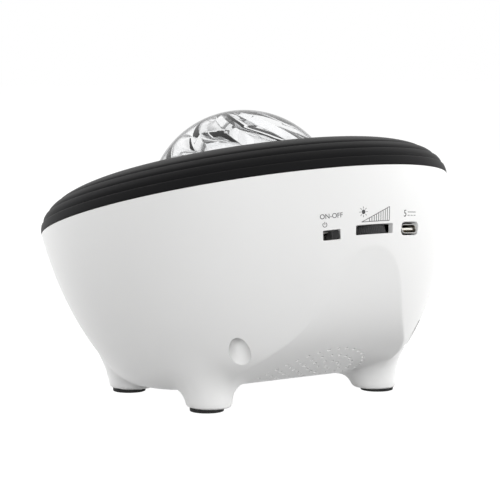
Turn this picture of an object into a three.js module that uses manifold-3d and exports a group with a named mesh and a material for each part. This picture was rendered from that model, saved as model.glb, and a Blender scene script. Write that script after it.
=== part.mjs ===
// Galaxy projector: a tilted white bowl on four feet with a ribbed black top cover and a
// clear swirl dome, and inside it the lamp, the gear train, the speaker and the controls.
// Millimetres, +Z up. The back, where the controls are, faces +Y. The table is at z = 0.

import * as THREE from 'three';
import { mergeVertices } from 'three/addons/utils/BufferGeometryUtils.js';
import Module from 'manifold-3d';

const wasm = await Module();
wasm.setup();

// Shared clearances
const gap = 0.3;                  // between pieces that touch or turn
const overrun = 1;                // how far a cutter runs past what it cuts
const clearCut = 200;             // reach of the cutters that clear a whole side

// Bowl
const rimRadius = 75;             // lower edge of the ribbed band
const rimHeight = 67.8;           // its centre above the table
const rimBack = -0.75;            // its centre from the middle of the footprint
const tilt = THREE.MathUtils.degToRad(14.4);
const wall = 2.2;
const bowlDepth = 65.3;           // along the tilted axis
const cornerRadius = 22.2;        // side wall into bottom
const cornerTurn = THREE.MathUtils.degToRad(51.5);
const sideTopTurn = THREE.MathUtils.degToRad(7.5);
const sideEndShare = 0.704;       // of the rim: where the side wall meets the corner arc
const sideEndRadius = rimRadius * sideEndShare;
const sideHandleShares = [0.267, 0.423];
const undersideHeight = 4.4;      // flat belly above the table
const bowlSides = 36;
const sideSteps = 5;
const cornerSteps = 2;

// Scoop below the controls, straight from side to side
const scoopTopDepth = 26.7;       // its apex, along the tilted axis
const scoopTopTurn = THREE.MathUtils.degToRad(28.4);
const scoopTopHandle = 26.5;
const scoopFoot = 19.7;           // where it runs out in the bottom, from the axis
const scoopFootTurn = THREE.MathUtils.degToRad(11.4);
const scoopFootHandle = 32.3;
const scoopSteps = 6;

// Speaker grille and seat
const grilleCentre = 19.7;        // from the axis, towards the back
const grillePitch = 4.4;          // between rings of holes
const grilleRings = 5;
const grilleStep = 7;             // each ring has this many holes more
const grilleHole = 0.65;
const grilleSides = 4;
const seatHeight = 13.3;          // above the bowl's bottom
const seatDepth = bowlDepth - seatHeight;
const seatInner = 23.2;
const seatOuter = 25.4;

// Feet
const footBackX = 38.6;
const footBackY = 29.35;
const footFrontX = 36.3;
const footFrontY = -23.05;
const footRadius = 8.1;
const footDraft = THREE.MathUtils.degToRad(6);
const footLift = 0.9;             // bottom of the foot above the table
const footEdge = 0.8;             // height of the rounded lower edge
const footEdgeIn = 1.3;
const footReach = 20;             // how far the foot's cone runs up into the bowl
const footCore = 5.2;             // hollow inside a back foot
const padRadius = 6;
const padThick = 1.6;

// Case screws, their wells and the posts that they pull on
const wellShares = [0.515, 0.491];
const [wellX, wellY] = wellShares.map((share) => rimRadius * share);
const wellRadius = 3.65;
const towerWall = 1.6;
const towerTop = 42;              // below the rim plane
const towerFloor = 2.2;
const screwRadius = 1.4;
const screwHead = 2.8;
const screwHeadThick = 2;
const screwLength = 10;
const postRadius = 3.8;

// Top cover
const coverHeight = 13.9;         // crest above the rim plane
const crestRadius = 51.7;
const coverWall = 2;
const ribTurnShares = [0.15, 0.305, 0.467];
const ribStep = 0.7;              // each land stands back by this
const deckHeight = 8;
const deckRadius = 41;
const deckHole = 35.3;
const lipDepth = 3;
const lipThick = 1.5;
const coverSides = 36;
const crestSteps = 3;
const dishSteps = 2;

// Dome
const domeRadius = 35.4;
const domeWall = 2.4;
const domeFlange = 39;
const flangeThick = 2.3;
const swirlDepth = 1.6;
const swirlLobes = 16;
const swirlTurn = THREE.MathUtils.degToRad(68);
const domeSides = 48;             // three to a lobe
const domeSteps = 6;

// Lamp frame
const frameFlange = 46;
const frameFlangeThick = 2.5;
const cupRadius = 35;
const cupWall = 2.5;
const cupDepth = 12;              // underside of its floor below the rim plane
const floorThick = 2.5;
const bossPlace = 43;             // frame screws from the axis
const bossRadius = 3;
const frameScrewRadius = 1.1;
const frameScrewHead = 2.2;
const frameScrewHeadThick = 1.5;
const frameScrewLength = 5;

// Gear train
const toothModule = 0.75;
const addendumShare = 0.75;
const dedendumShare = 1.1;
const backlash = 0.3;
const nebulaTeeth = 48;
const starTeeth = 20;
const pinionTeeth = 12;
const nebulaX = -9.5;
const pinionTurn = THREE.MathUtils.degToRad(60);
const gearThick = 4.3;
const gearRimHigh = 1.7;          // carrier rim above the web
const gearRimThick = 0.8;
const nebulaHub = 12.6;
const nebulaHubWall = 2;
const starHub = 4.5;
const starHubWall = 0.9;
const hubStep = 0.6;              // the retainer's seat on a hub
const retainerThick = 0.9;
const retainerOver = 0.7;         // how far a retainer reaches over the gear
const discThick = 1.6;
const discRipple = 0.5;
const gratingThick = 0.9;

// Motor
const motorRadius = 9;
const motorLong = 15;
const motorEar = 12;              // ear screws from the shaft
const motorEarRadius = 2.6;
const motorEarThick = 1.2;
const motorNose = 3;
const motorNoseHigh = 1.6;
const shaftRadius = 1;
const motorScrewRadius = 0.9;
const motorScrewHead = 1.8;
const motorScrewHeadThick = 1.2;
const motorScrewLength = 3;

// Lamp and laser
const ledBoardRadius = 11.4;
const ledBoardThick = 1.6;
const chipSize = 3;
const chipThick = 1.4;
const chipPlace = 2.9;
const chipCount = 4;
const substrateRadius = 5.4;
const reflectorFoot = 6.2;
const reflectorMouth = 9.9;
const reflectorWall = 0.9;
const sinkRadius = 12;
const sinkBase = 2.5;
const sinkFins = 5;
const finHigh = 7;
const finThick = 1.4;
const laserRadius = 3.2;
const laserLong = 22;
const laserSleeve = 5;            // clamp sleeve under the frame's floor
const laserEye = 1.2;

// Control board and controls
const boardDepth = 24.6;          // top face below the rim plane
const boardThick = 1.6;
const boardHalf = 27;
const boardLong = 18.4;
const boardSetback = 2.5;         // from the wall's inner face
const boardPostX = 22.5;
const boardPostIn = 12.4;         // from the board's back edge
const boardPost = 3;
const chipHigh = 1.2;
const controllerSize = 6;
const capacitorRadius = 2.5;
const capacitorHigh = 7;
const dialTurn = THREE.MathUtils.degToRad(0.57);
const dialDepth = 21.55;
const dialRadius = 8.8;
const dialThick = 2.8;
const dialOut = 0.4;              // how far the wheel stands out of the wall
const dialFlutes = 24;
const dialFluteDeep = 0.25;
const dialPin = 1.5;
const dialCap = 3;
const dialCapThick = 0.7;
const dialBase = 4.4;
const dialWindow = 16.4;
const dialWindowHigh = 3.25;
const switchTurn = THREE.MathUtils.degToRad(13.7);
const switchDepth = 22.3;
const switchWindow = 6.5;
const switchWindowHigh = 3.3;
const knobWide = 2.9;
const knobHigh = 2.7;
const knobIn = 0.2;               // knob face below the outer surface
const stemSize = 1.6;
const switchBodyWide = 8.4;
const switchBodyHigh = 3.7;
const switchBodyDeep = 4;
const switchBack = 1.4;           // its face behind the wall
const usbTurn = THREE.MathUtils.degToRad(15.05);
const usbDepth = 21.8;
const usbOpening = 10.3;
const usbOpeningHigh = 4.5;
const usbCorner = 1.8;
const usbWide = 8.94;
const usbHigh = 3.26;
const usbSheet = 0.3;
const usbLong = 7.3;
const usbIn = 0.35;               // socket mouth below the outer surface
const usbLeg = 1;
const usbLegShares = [0.62, 0.92];
const tongueIn = 0.9;             // its tip behind the mouth
const tongueWide = 6.6;
const tongueHigh = 0.7;
const tongueLong = 4.6;

// Speaker
const speakerFlange = 24.5;
const coneRadius = 18.9;
const basketBack = 12.4;
const basketHigh = 10;
const basketSheet = 1;
const coneHigh = 6;
const coneNeck = 5.5;
const coneSheet = 0.6;
const magnetRadius = 12;
const magnetHigh = 6;
const speakerScrewHead = 4;
const speakerScrewHeadThick = 1.5;
const speakerScrewRadius = 1.2;
const speakerScrewLength = 6;
const speakerBoss = 2.7;
const speakerVents = 4;

// Geometry helpers

// A closed, merged copy of a geometry with its faces pointing out
function closed(geometry) {
  const bare = geometry.index ? geometry.toNonIndexed() : geometry.clone();
  bare.deleteAttribute('normal');
  bare.deleteAttribute('uv');
  const merged = mergeVertices(bare, 1e-4);
  const p = merged.attributes.position;
  const kept = [];
  let volume = 0;
  const [a, b, c] = [new THREE.Vector3(), new THREE.Vector3(), new THREE.Vector3()];
  for (let i = 0; i < merged.index.count; i += 3) {
    const t = [0, 1, 2].map((k) => merged.index.getX(i + k));
    if (t[0] === t[1] || t[1] === t[2] || t[2] === t[0]) continue;
    kept.push(...t);
    volume += a.fromBufferAttribute(p, t[0])
      .dot(b.fromBufferAttribute(p, t[1]).cross(c.fromBufferAttribute(p, t[2])));
  }
  if (volume < 0) {
    for (let i = 0; i < kept.length; i += 3) [kept[i], kept[i + 1]] = [kept[i + 1], kept[i]];
  }
  merged.setIndex(kept);
  return merged;
}

function toSolid(geometry) {
  const g = closed(geometry);
  return new wasm.Manifold(new wasm.Mesh({
    numProp: 3,
    vertProperties: new Float32Array(g.attributes.position.array),
    triVerts: new Uint32Array(g.index.array),
  }));
}

function toGeometry(solid) {
  const mesh = solid.getMesh();
  const g = new THREE.BufferGeometry();
  g.setAttribute('position', new THREE.BufferAttribute(new Float32Array(mesh.vertProperties), 3));
  g.setIndex([...mesh.triVerts]);
  return g;
}

const join = (...solids) => solids.reduce((a, b) => a.add(b));
const cut = (base, ...tools) => tools.reduce((a, b) => a.subtract(b), base);

// Revolves [radius, height] points about Z
function revolve(points, sides) {
  const g = new THREE.LatheGeometry(points.map(([r, h]) => new THREE.Vector2(r, h)), sides);
  return g.rotateX(Math.PI / 2);
}

// A cylinder or cone about Z, between two heights
function rod(radius, low, high, sides = 24, topRadius = radius) {
  const g = new THREE.CylinderGeometry(topRadius, radius, high - low, sides);
  return g.rotateX(Math.PI / 2).translate(0, 0, (low + high) / 2);
}

// A tube about Z, between two heights
function tube(inner, outer, low, high, sides = 32) {
  return revolve([[inner, low], [outer, low], [outer, high], [inner, high], [inner, low]], sides);
}

function block(x0, x1, y0, y1, z0, z1) {
  return new THREE.BoxGeometry(x1 - x0, y1 - y0, z1 - z0)
    .translate((x0 + x1) / 2, (y0 + y1) / 2, (z0 + z1) / 2);
}

// A rectangle with round corners in the XZ plane, extruded along Y from y0 to y1
function roundedBar(wide, high, corner, y0, y1) {
  const [w, h] = [wide / 2, high / 2];
  const s = new THREE.Shape();
  s.moveTo(-w + corner, -h);
  s.lineTo(w - corner, -h);
  s.absarc(w - corner, -h + corner, corner, -Math.PI / 2, 0);
  s.absarc(w - corner, h - corner, corner, 0, Math.PI / 2);
  s.absarc(-w + corner, h - corner, corner, Math.PI / 2, Math.PI);
  s.absarc(-w + corner, -h + corner, corner, Math.PI, 1.5 * Math.PI);
  const g = new THREE.ExtrudeGeometry(s, {
    depth: y1 - y0, bevelEnabled: false, curveSegments: 2,
  });
  return g.rotateX(Math.PI / 2).translate(0, y1, 0);
}

function bezier(p0, p1, p2, p3, steps) {
  const curve = new THREE.CubicBezierCurve(...[p0, p1, p2, p3].map((p) => new THREE.Vector2(...p)));
  return curve.getPoints(steps).map((p) => [p.x, p.y]);
}

// The matrix of the tilted frame: its origin is the rim's centre and its Z the bowl's axis
const tilted = new THREE.Matrix4().makeRotationX(tilt)
  .setPosition(0, rimBack, rimHeight);

const inWorld = (geometry) => geometry.clone().applyMatrix4(tilted);

// Where a point given over the table lies in the tilted frame
const toTilted = (x, y, z) => new THREE.Vector3(x, y, z).applyMatrix4(tilted.clone().invert());

// Bowl

// The outer profile from the bottom's edge to the rim, set in by a wall
function bowlProfile(inset) {
  const arcHeight = cornerRadius * (1 - Math.cos(cornerTurn));
  const flat = sideEndRadius - cornerRadius * Math.sin(cornerTurn);
  const points = [];
  for (let i = 0; i < cornerSteps; i += 1) {
    const turn = cornerTurn * (i / cornerSteps);
    points.push([flat + cornerRadius * Math.sin(turn),
      -bowlDepth + cornerRadius * (1 - Math.cos(turn))]);
  }
  const end = [sideEndRadius, -bowlDepth + arcHeight];
  const rise = -end[1];
  const [top, low] = sideHandleShares.map((share) => share * rise);
  points.push(...bezier(
    end,
    [end[0] + low * Math.cos(cornerTurn), end[1] + low * Math.sin(cornerTurn)],
    [rimRadius - top * Math.sin(sideTopTurn), -top * Math.cos(sideTopTurn)],
    [rimRadius, 0],
    sideSteps,
  ));
  return points.map(([r, h], i) => {
    const a = points[Math.max(i - 1, 0)];
    const b = points[Math.min(i + 1, points.length - 1)];
    const length = Math.hypot(b[0] - a[0], b[1] - a[1]);
    const out = i === 0 ? [0, -1] : [(b[1] - a[1]) / length, (a[0] - b[0]) / length];
    return [r - out[0] * inset, h - out[1] * inset];
  });
}

// The bowl's outer radius at a depth below the rim plane
function bowlRadius(depth) {
  const p = bowlProfile(0);
  for (let i = 1; i < p.length; i += 1) {
    if (p[i][1] >= -depth) {
      const share = (-depth - p[i - 1][1]) / (p[i][1] - p[i - 1][1]);
      return p[i - 1][0] + share * (p[i][0] - p[i - 1][0]);
    }
  }
  return rimRadius;
}

// The bowl as one solid, set in by a wall and closed at a height
function bowlSolid(inset, top) {
  const points = bowlProfile(inset).filter(([, h]) => h < top);
  const last = points[points.length - 1];
  const outline = [[0, points[0][1]], ...points, [last[0], top], [0, top]];
  return toSolid(inWorld(revolve(outline, bowlSides)));
}

const boardBack = bowlRadius(boardDepth + boardThick) - wall - boardSetback;
const boardFront = boardBack - boardLong;
const boardPostY = boardBack - boardPostIn;

// What the scoop takes away, set in by a wall
function scoopCutter(inset) {
  const apex = [bowlRadius(scoopTopDepth), -scoopTopDepth];
  const foot = [scoopFoot, -bowlDepth];
  const [sin, cos] = [Math.sin(scoopTopTurn), Math.cos(scoopTopTurn)];
  const [along, up] = [Math.cos(scoopFootTurn), Math.sin(scoopFootTurn)];
  const line = bezier(
    foot,
    [foot[0] + scoopFootHandle * along, foot[1] + scoopFootHandle * up],
    [apex[0] - scoopTopHandle * sin, apex[1] - scoopTopHandle * cos],
    apex,
    scoopSteps,
  );
  const outline = [
    [foot[0] - rimRadius * along, foot[1] - rimRadius * up], ...line,
    [apex[0] + rimRadius * sin, apex[1] + rimRadius * cos],
    [rimRadius * 2, apex[1]], [rimRadius, -bowlDepth * 2],
  ];
  const moved = outline.map(([y, z], i) => {
    const a = outline[Math.max(i - 1, 0)];
    const b = outline[Math.min(i + 1, line.length + 1)];
    const length = Math.hypot(b[0] - a[0], b[1] - a[1]);
    const skin = i <= line.length + 1;
    return skin ? [y - (inset * (b[1] - a[1])) / length, z + (inset * (b[0] - a[0])) / length] : [y, z];
  });
  const shape = new THREE.Shape(moved.map(([y, z]) => new THREE.Vector2(y, z)));
  const g = new THREE.ExtrudeGeometry(shape, { depth: rimRadius * 2, bevelEnabled: false });
  g.translate(0, 0, -rimRadius);
  g.applyMatrix4(new THREE.Matrix4().set(0, 0, 1, 0, 1, 0, 0, 0, 0, 1, 0, 0, 0, 0, 0, 1));
  return toSolid(inWorld(g));
}

// Everything above a height over the table
const above = (z) => toSolid(block(-clearCut, clearCut, -clearCut, clearCut, z, clearCut));

const feet = [
  { name: 'back_left', x: footBackX, y: footBackY, back: true },
  { name: 'back_right', x: -footBackX, y: footBackY, back: true },
  { name: 'front_left', x: footFrontX, y: footFrontY, back: false },
  { name: 'front_right', x: -footFrontX, y: footFrontY, back: false },
];

// The feet run up along the bowl's axis, so their circles slide forward with height
const footLean = new THREE.Matrix4().makeShear(0, 0, 0, 0, 0, -Math.tan(tilt))
  .premultiply(new THREE.Matrix4().makeTranslation(0, Math.tan(tilt) * footLift, 0));

function footCone(foot) {
  const top = footLift + footEdge + footReach;
  return toSolid(revolve([
    [0, footLift],
    [footRadius - footEdgeIn, footLift],
    [footRadius - footEdgeIn * (1 - Math.SQRT1_2), footLift + footEdge * (1 - Math.SQRT1_2)],
    [footRadius, footLift + footEdge],
    [footRadius + footReach * Math.tan(footDraft), top],
    [0, top],
  ], 16).applyMatrix4(footLean).translate(foot.x, foot.y, 0));
}

// The case screws' places in the tilted frame: the back pair opens in the wall and the
// front pair under the pads of the front feet
const frontWell = toTilted(footFrontX, footFrontY, footLift + padThick);
const wells = [[wellX, wellY], [-wellX, wellY],
  [frontWell.x, frontWell.y], [-frontWell.x, frontWell.y]];

const atTilted = (geometry, x, y) => toSolid(inWorld(geometry.translate(x, y, 0)));

// Rings of small holes, drilled along the bowl's axis
function grilleHoles() {
  const holes = [];
  for (let ring = 0; ring <= grilleRings; ring += 1) {
    const count = Math.max(1, ring * grilleStep);
    for (let i = 0; i < count; i += 1) {
      const turn = (2 * Math.PI * i) / count;
      holes.push(atTilted(rod(grilleHole, -bowlDepth - overrun, -seatDepth, grilleSides),
        ring * grillePitch * Math.sin(turn), grilleCentre + ring * grillePitch * Math.cos(turn)));
    }
  }
  return holes;
}

const speakerHeadBase = seatDepth - gap - basketSheet;
const speakerScrewPlace = speakerFlange + gap + speakerBoss;
const speakerScrews = [0, 1, 2].map((i) => {
  const turn = Math.PI + (i * 2 * Math.PI) / 3;
  return [speakerScrewPlace * Math.sin(turn), grilleCentre + speakerScrewPlace * Math.cos(turn)];
});

// A window through the back wall, square to the wall at an angle about the axis
function window(wide, high, corner, turn, depth) {
  const g = roundedBar(wide, high, corner, rimRadius - wall * 8, rimRadius + overrun);
  return toSolid(inWorld(g.translate(0, 0, -depth).rotateZ(-turn)));
}

function bowlShell() {
  const body = join(
    cut(bowlSolid(0, -gap).intersect(above(undersideHeight)), scoopCutter(0)),
    ...feet.map(footCone),
  );
  const cavity = cut(bowlSolid(wall, overrun).intersect(above(undersideHeight + wall)),
    scoopCutter(wall));
  const cores = feet.filter((foot) => foot.back).map((foot) => toSolid(
    rod(footCore, footLift + padThick + wall, undersideHeight * 3, 16)
      .applyMatrix4(footLean).translate(foot.x, foot.y, 0)));
  const wallMiddle = cut(
    bowlSolid(wall / 2, overrun).intersect(above(undersideHeight + wall / 2)),
    scoopCutter(wall / 2),
  );
  const inner = join(
    atTilted(tube(seatInner, seatOuter, -bowlDepth - clearCut, -seatDepth, 20), 0, grilleCentre),
    ...speakerScrews.map(([x, y]) => atTilted(
      rod(speakerBoss, -bowlDepth - clearCut, -speakerHeadBase, 8), x, y)),
    ...wells.map(([x, y]) => atTilted(
      rod(wellRadius + towerWall, -bowlDepth - clearCut, -towerTop, 12), x, y)),
  ).intersect(wallMiddle);
  return cut(
    join(cut(body, cavity, ...cores), inner),
    ...grilleHoles(),
    ...speakerScrews.map(([x, y]) => atTilted(
      rod(speakerScrewRadius + gap, -speakerHeadBase - speakerScrewLength, overrun - speakerHeadBase, 8),
      x, y)),
    ...wells.flatMap(([x, y]) => [
      atTilted(rod(wellRadius, -bowlDepth - clearCut, -towerTop - towerFloor, 12), x, y),
      atTilted(rod(screwRadius + gap, -towerTop - towerFloor - overrun, overrun - towerTop, 6), x, y)]),
    ...feet.map((foot) => toSolid(
      rod(padRadius + gap, footLift - overrun, padThick + gap, 16).translate(foot.x, foot.y, 0))),
    window(dialWindow, dialWindowHigh, gap, -dialTurn, dialDepth),
    window(switchWindow, switchWindowHigh, gap, switchTurn, switchDepth),
    window(usbOpening, usbOpeningHigh, usbCorner, -usbTurn, usbDepth),
  );
}

// Top cover

// The ribbed outer side is a quarter ellipse in steps that stand back one by one
function coverProfile() {
  const at = (share, inset) => {
    const turn = (share * Math.PI) / 2;
    return [crestRadius + (rimRadius - crestRadius - inset) * Math.cos(turn),
      (coverHeight - inset) * Math.sin(turn)];
  };
  const outer = [];
  const edges = [0, ...ribTurnShares, 1];
  for (let land = 0; land + 1 < edges.length; land += 1) {
    const steps = land + 2 < edges.length ? 1 : crestSteps;
    for (let i = 0; i <= steps; i += 1) {
      const share = edges[land] + ((edges[land + 1] - edges[land]) * i) / steps;
      const groove = i === 0 && land > 0 ? ribStep : 0;
      outer.push(at(share, groove));
    }
  }
  const dish = (inset) => {
    const points = [];
    for (let i = 1; i <= dishSteps; i += 1) {
      const turn = (Math.PI * i) / dishSteps;
      const half = (coverHeight - deckHeight) / 2;
      points.push([crestRadius + ((deckRadius - crestRadius) * i) / dishSteps,
        deckHeight + half + half * Math.cos(turn) - inset]);
    }
    return points;
  };
  const inner = [];
  for (let i = 0; i <= crestSteps; i += 1) inner.push(at(1 - i / crestSteps, coverWall));
  const lipOuter = bowlRadius(lipDepth) - wall - gap;
  return [
    ...outer, ...dish(0), [deckHole, deckHeight], [deckHole, deckHeight - coverWall],
    ...dish(coverWall).reverse(), ...inner.slice(0, -1),
    [lipOuter - lipThick, 0], [lipOuter - lipThick, -lipDepth], [lipOuter, -lipDepth],
    [lipOuter, 0], [rimRadius, 0],
  ];
}

const frameTop = deckHeight - coverWall - gap - flangeThick - gap;
const framePlaces = [0, 1, 2, 3].map((i) => {
  const turn = Math.PI / 4 + (i * Math.PI) / 2;
  return [bossPlace * Math.cos(turn), bossPlace * Math.sin(turn)];
});
const boardPlaces = [[boardPostX, boardPostY], [-boardPostX, boardPostY]];
const boardTop = -boardDepth;

function topCover() {
  const cover = toSolid(revolve(coverProfile(), coverSides));
  const under = (radius, x, y, low, high, sides) => toSolid(
    rod(radius, low, high, sides).translate(x, y, 0));
  const postTop = coverHeight - coverWall + gap * 2;
  const pilot = (radius, length, x, y, low) => under(radius + gap, x, y, low - overrun, low + length, 6);
  const bosses = [
    ...wells.map(([x, y]) => under(postRadius, x, y, gap - towerTop, postTop, 12)),
    ...framePlaces.map(([x, y]) => under(bossRadius, x, y, frameTop + gap, deckHeight, 10)),
    ...boardPlaces.map(([x, y]) => under(boardPost, x, y, boardTop + gap, postTop, 10)),
  ];
  return cut(
    join(cover, ...bosses),
    ...wells.map(([x, y]) => pilot(screwRadius, screwLength, x, y, gap - towerTop)),
    ...framePlaces.map(([x, y]) => pilot(
      frameScrewRadius, frameScrewLength - frameFlangeThick, x, y, frameTop + gap)),
    ...boardPlaces.map(([x, y]) => pilot(frameScrewRadius, frameScrewLength, x, y, boardTop + gap)),
  );
}

// Dome

// Clear dome: smooth outside, and inside a swirl of blades that thicken round and then drop
function domeLens() {
  const flangeTop = deckHeight - coverWall - gap;
  const flangeLow = flangeTop - flangeThick;
  const inner = domeRadius - domeWall;
  const low = Math.asin(flangeTop / domeRadius);
  const innerLow = Math.asin(flangeLow / inner);
  const points = [[domeFlange, flangeLow], [domeFlange, flangeTop]];
  for (let i = 0; i <= domeSteps; i += 1) {
    const rise = low + ((Math.PI / 2 - low) * i) / domeSteps;
    points.push([i === domeSteps ? 0 : domeRadius * Math.cos(rise), domeRadius * Math.sin(rise)]);
  }
  const firstInner = points.length;
  for (let i = domeSteps; i >= 0; i -= 1) {
    const rise = innerLow + ((Math.PI / 2 - innerLow) * i) / domeSteps;
    points.push([i === domeSteps ? 0 : inner * Math.cos(rise), inner * Math.sin(rise)]);
  }
  const outside = points.slice(1, firstInner);
  const inside = [...points.slice(firstInner), points[0], points[1]];
  const lathe = (line) => revolve(line, domeSides);
  const outerSkin = toSolid(lathe([[0, flangeLow], points[0], ...outside]));
  const core = lathe([...inside.slice(0, -2), [inside[domeSteps][0], flangeLow - overrun],
    [0, flangeLow - overrun]]);
  const p = core.attributes.position;
  for (let i = 0; i < p.count; i += 1) {
    const [x, y, z] = [p.getX(i), p.getY(i), p.getZ(i)];
    const flat = Math.hypot(x, y);
    if (z > flangeLow && flat > 0) {
      const rise = Math.atan2(z, flat);
      const turn = Math.atan2(y, x);
      const step = Math.round((turn / (2 * Math.PI)) * domeSides) + domeSides;
      const across = (step % (domeSides / swirlLobes)) / (domeSides / swirlLobes - 1);
      const fade = Math.sin(Math.min(1, (z - flangeLow) / domeWall) * (Math.PI / 2))
        * Math.cos(rise) ** 0.5;
      const scale = 1 - (swirlDepth * fade * across) / inner;
      const turned = turn - ((rise - innerLow) / (Math.PI / 2 - innerLow)) * swirlTurn;
      p.setXYZ(i, flat * scale * Math.cos(turned), flat * scale * Math.sin(turned), z * scale);
    }
  }
  return cut(outerSkin, toSolid(core));
}

// Lamp frame and gear train

const floorTop = floorThick - cupDepth;
const gearLow = floorTop + gap;
const webTop = gearLow + gearThick;
const hubSeat = webTop;
const hubTop = hubSeat + gap + retainerThick;
const rimTop = webTop + gearRimHigh;
const pitchRadius = (teeth) => (teeth * toothModule) / 2;
const starX = nebulaX + pitchRadius(nebulaTeeth) + pitchRadius(starTeeth);
const pinionReach = pitchRadius(nebulaTeeth) + pitchRadius(pinionTeeth);
const pinionX = nebulaX + pinionReach * Math.cos(pinionTurn);
const pinionY = pinionReach * Math.sin(pinionTurn);
const earTurn = pinionTurn + Math.PI / 2;
const earPlaces = [1, -1].map((side) => [
  pinionX + side * motorEar * Math.cos(earTurn), pinionY + side * motorEar * Math.sin(earTurn)]);

function lampFrame() {
  const cup = toSolid(revolve([
    [0, -cupDepth], [cupRadius, -cupDepth], [cupRadius, frameTop - frameFlangeThick],
    [frameFlange, frameTop - frameFlangeThick], [frameFlange, frameTop],
    [cupRadius - cupWall, frameTop], [cupRadius - cupWall, floorTop], [0, floorTop],
  ], 28));
  const at = (g, x, y) => toSolid(g.translate(x, y, 0));
  const hub = (radius, x) => [
    at(rod(radius, floorTop - overrun, hubSeat, 20), x, 0),
    at(rod(radius - hubStep, hubSeat - overrun, hubTop, 20), x, 0)];
  const sleeve = at(rod(laserRadius + gap + cupWall / 2, -cupDepth - laserSleeve, overrun - cupDepth, 14),
    starX, 0);
  const through = (radius, x, y, sides) => at(
    rod(radius, -cupDepth - laserSleeve - overrun, frameTop + overrun, sides), x, y);
  return cut(
    join(cup, ...hub(nebulaHub, nebulaX), ...hub(starHub, starX), sleeve),
    through(nebulaHub - nebulaHubWall, nebulaX, 0, 20),
    through(laserRadius + gap, starX, 0, 14),
    through(motorNose + gap, pinionX, pinionY, 14),
    ...earPlaces.map(([x, y]) => through(motorScrewRadius + gap, x, y, 6)),
    ...framePlaces.map(([x, y]) => through(frameScrewRadius + gap, x, y, 6)),
  );
}

// Involute spur gear outline, with a first tooth at an angle
function gearShape(teeth, firstTooth, bore) {
  const pressure = THREE.MathUtils.degToRad(20);
  const pitch = pitchRadius(teeth);
  const base = pitch * Math.cos(pressure);
  const tip = pitch + addendumShare * toothModule;
  const root = pitch - dedendumShare * toothModule;
  const inv = (r) => {
    const a = Math.acos(Math.min(1, base / r));
    return Math.tan(a) - a;
  };
  const half = (Math.PI / 2 - backlash / (2 * toothModule)) / teeth;
  const halfAt = (r) => half + inv(pitch) - inv(Math.max(r, base));
  const points = [];
  const put = (r, turn) => points.push(new THREE.Vector2(r * Math.cos(turn), r * Math.sin(turn)));
  for (let i = 0; i < teeth; i += 1) {
    const centre = firstTooth + (2 * Math.PI * i) / teeth;
    put(root, centre - halfAt(root));
    put(tip, centre - halfAt(tip));
    put(tip, centre + halfAt(tip));
    put(root, centre + halfAt(root));
  }
  const shape = new THREE.Shape(points);
  const hole = new THREE.Path();
  hole.absarc(0, 0, bore, 0, 2 * Math.PI, true);
  shape.holes.push(hole);
  return shape;
}

// The first tooth of a follower that meshes with the nebula gear in a direction
const meshTurn = (teeth, direction) => direction + Math.PI + Math.PI / teeth
  + (nebulaTeeth / teeth) * direction;

function spur(teeth, firstTooth, bore, low, high) {
  const g = new THREE.ExtrudeGeometry(gearShape(teeth, firstTooth, bore), {
    depth: high - low, bevelEnabled: false, curveSegments: 10,
  });
  return g.translate(0, 0, low);
}

// A gear that turns on its hub, with a rim that carries a disc
function carrierGear(teeth, firstTooth, hub) {
  const outer = pitchRadius(teeth) - dedendumShare * toothModule;
  return join(
    toSolid(spur(teeth, firstTooth, hub + gap, gearLow, webTop)),
    toSolid(tube(outer - gearRimThick, outer, webTop - overrun, rimTop, 20)),
  );
}

const carrierRadius = (teeth) => pitchRadius(teeth) - dedendumShare * toothModule;

// A clear disc with rippled upper face
function rippleDisc() {
  const radius = carrierRadius(nebulaTeeth);
  const low = rimTop + gap;
  const waves = 6;
  const points = [[0, low], [radius, low]];
  for (let i = 0; i <= waves; i += 1) {
    const crest = i % 2 ? discRipple : 0;
    points.push([radius * (1 - i / waves), low + discThick - crest]);
  }
  return revolve(points, 20);
}

function retainer(hub) {
  return tube(hub - hubStep + gap, hub + gap + retainerOver, hubSeat + gap,
    hubSeat + gap + retainerThick, 16);
}

function gearMotor() {
  const top = -cupDepth - gap;
  const ears = new THREE.Shape();
  ears.absarc(motorEar, 0, motorEarRadius, -Math.PI / 2, Math.PI / 2);
  ears.absarc(-motorEar, 0, motorEarRadius, Math.PI / 2, 1.5 * Math.PI);
  const plate = new THREE.ExtrudeGeometry(ears, {
    depth: motorEarThick, bevelEnabled: false, curveSegments: 8,
  }).translate(0, 0, top - motorEarThick);
  const hole = (x, r, low, high) => toSolid(rod(r, low, high, 8).translate(x, 0, 0));
  return cut(
    join(
      toSolid(plate),
      toSolid(rod(motorRadius, top - motorLong, top - motorEarThick / 2, 20)),
      toSolid(rod(motorNose, top - overrun, top + motorNoseHigh, 12)),
    ),
    hole(motorEar, motorScrewRadius + gap, top - motorEarThick - overrun, top + overrun),
    hole(-motorEar, motorScrewRadius + gap, top - motorEarThick - overrun, top + overrun),
    hole(0, shaftRadius + gap, top - motorLong / 2, top + motorNoseHigh + overrun),
  );
}

// A pan-head screw whose head lies below a level and whose shank goes up
function screw(radius, head, headThick, length, level) {
  return revolve([
    [0, level - headThick], [head * 0.8, level - headThick], [head, level], [radius, level],
    [radius, level + length - radius], [0, level + length],
  ], 8);
}

// The same with the head on top and the shank down
const screwDown = (...size) => screw(...size).rotateX(Math.PI);

// Lamp and laser

const ledBoardTop = -cupDepth - gap;
const sinkTop = ledBoardTop - ledBoardThick - gap;

// Four emitters on one round substrate
function ledChips() {
  const low = ledBoardTop + gap;
  const half = chipSize / 2;
  const chips = Array.from({ length: chipCount }, (_, i) => {
    const turn = Math.PI / 4 + (i * 2 * Math.PI) / chipCount;
    return toSolid(block(-half, half, -half, half, low, low + chipThick)
      .translate(chipPlace * Math.cos(turn), chipPlace * Math.sin(turn), 0));
  });
  return join(toSolid(rod(substrateRadius, low, low + chipThick / 2)), ...chips);
}

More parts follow.
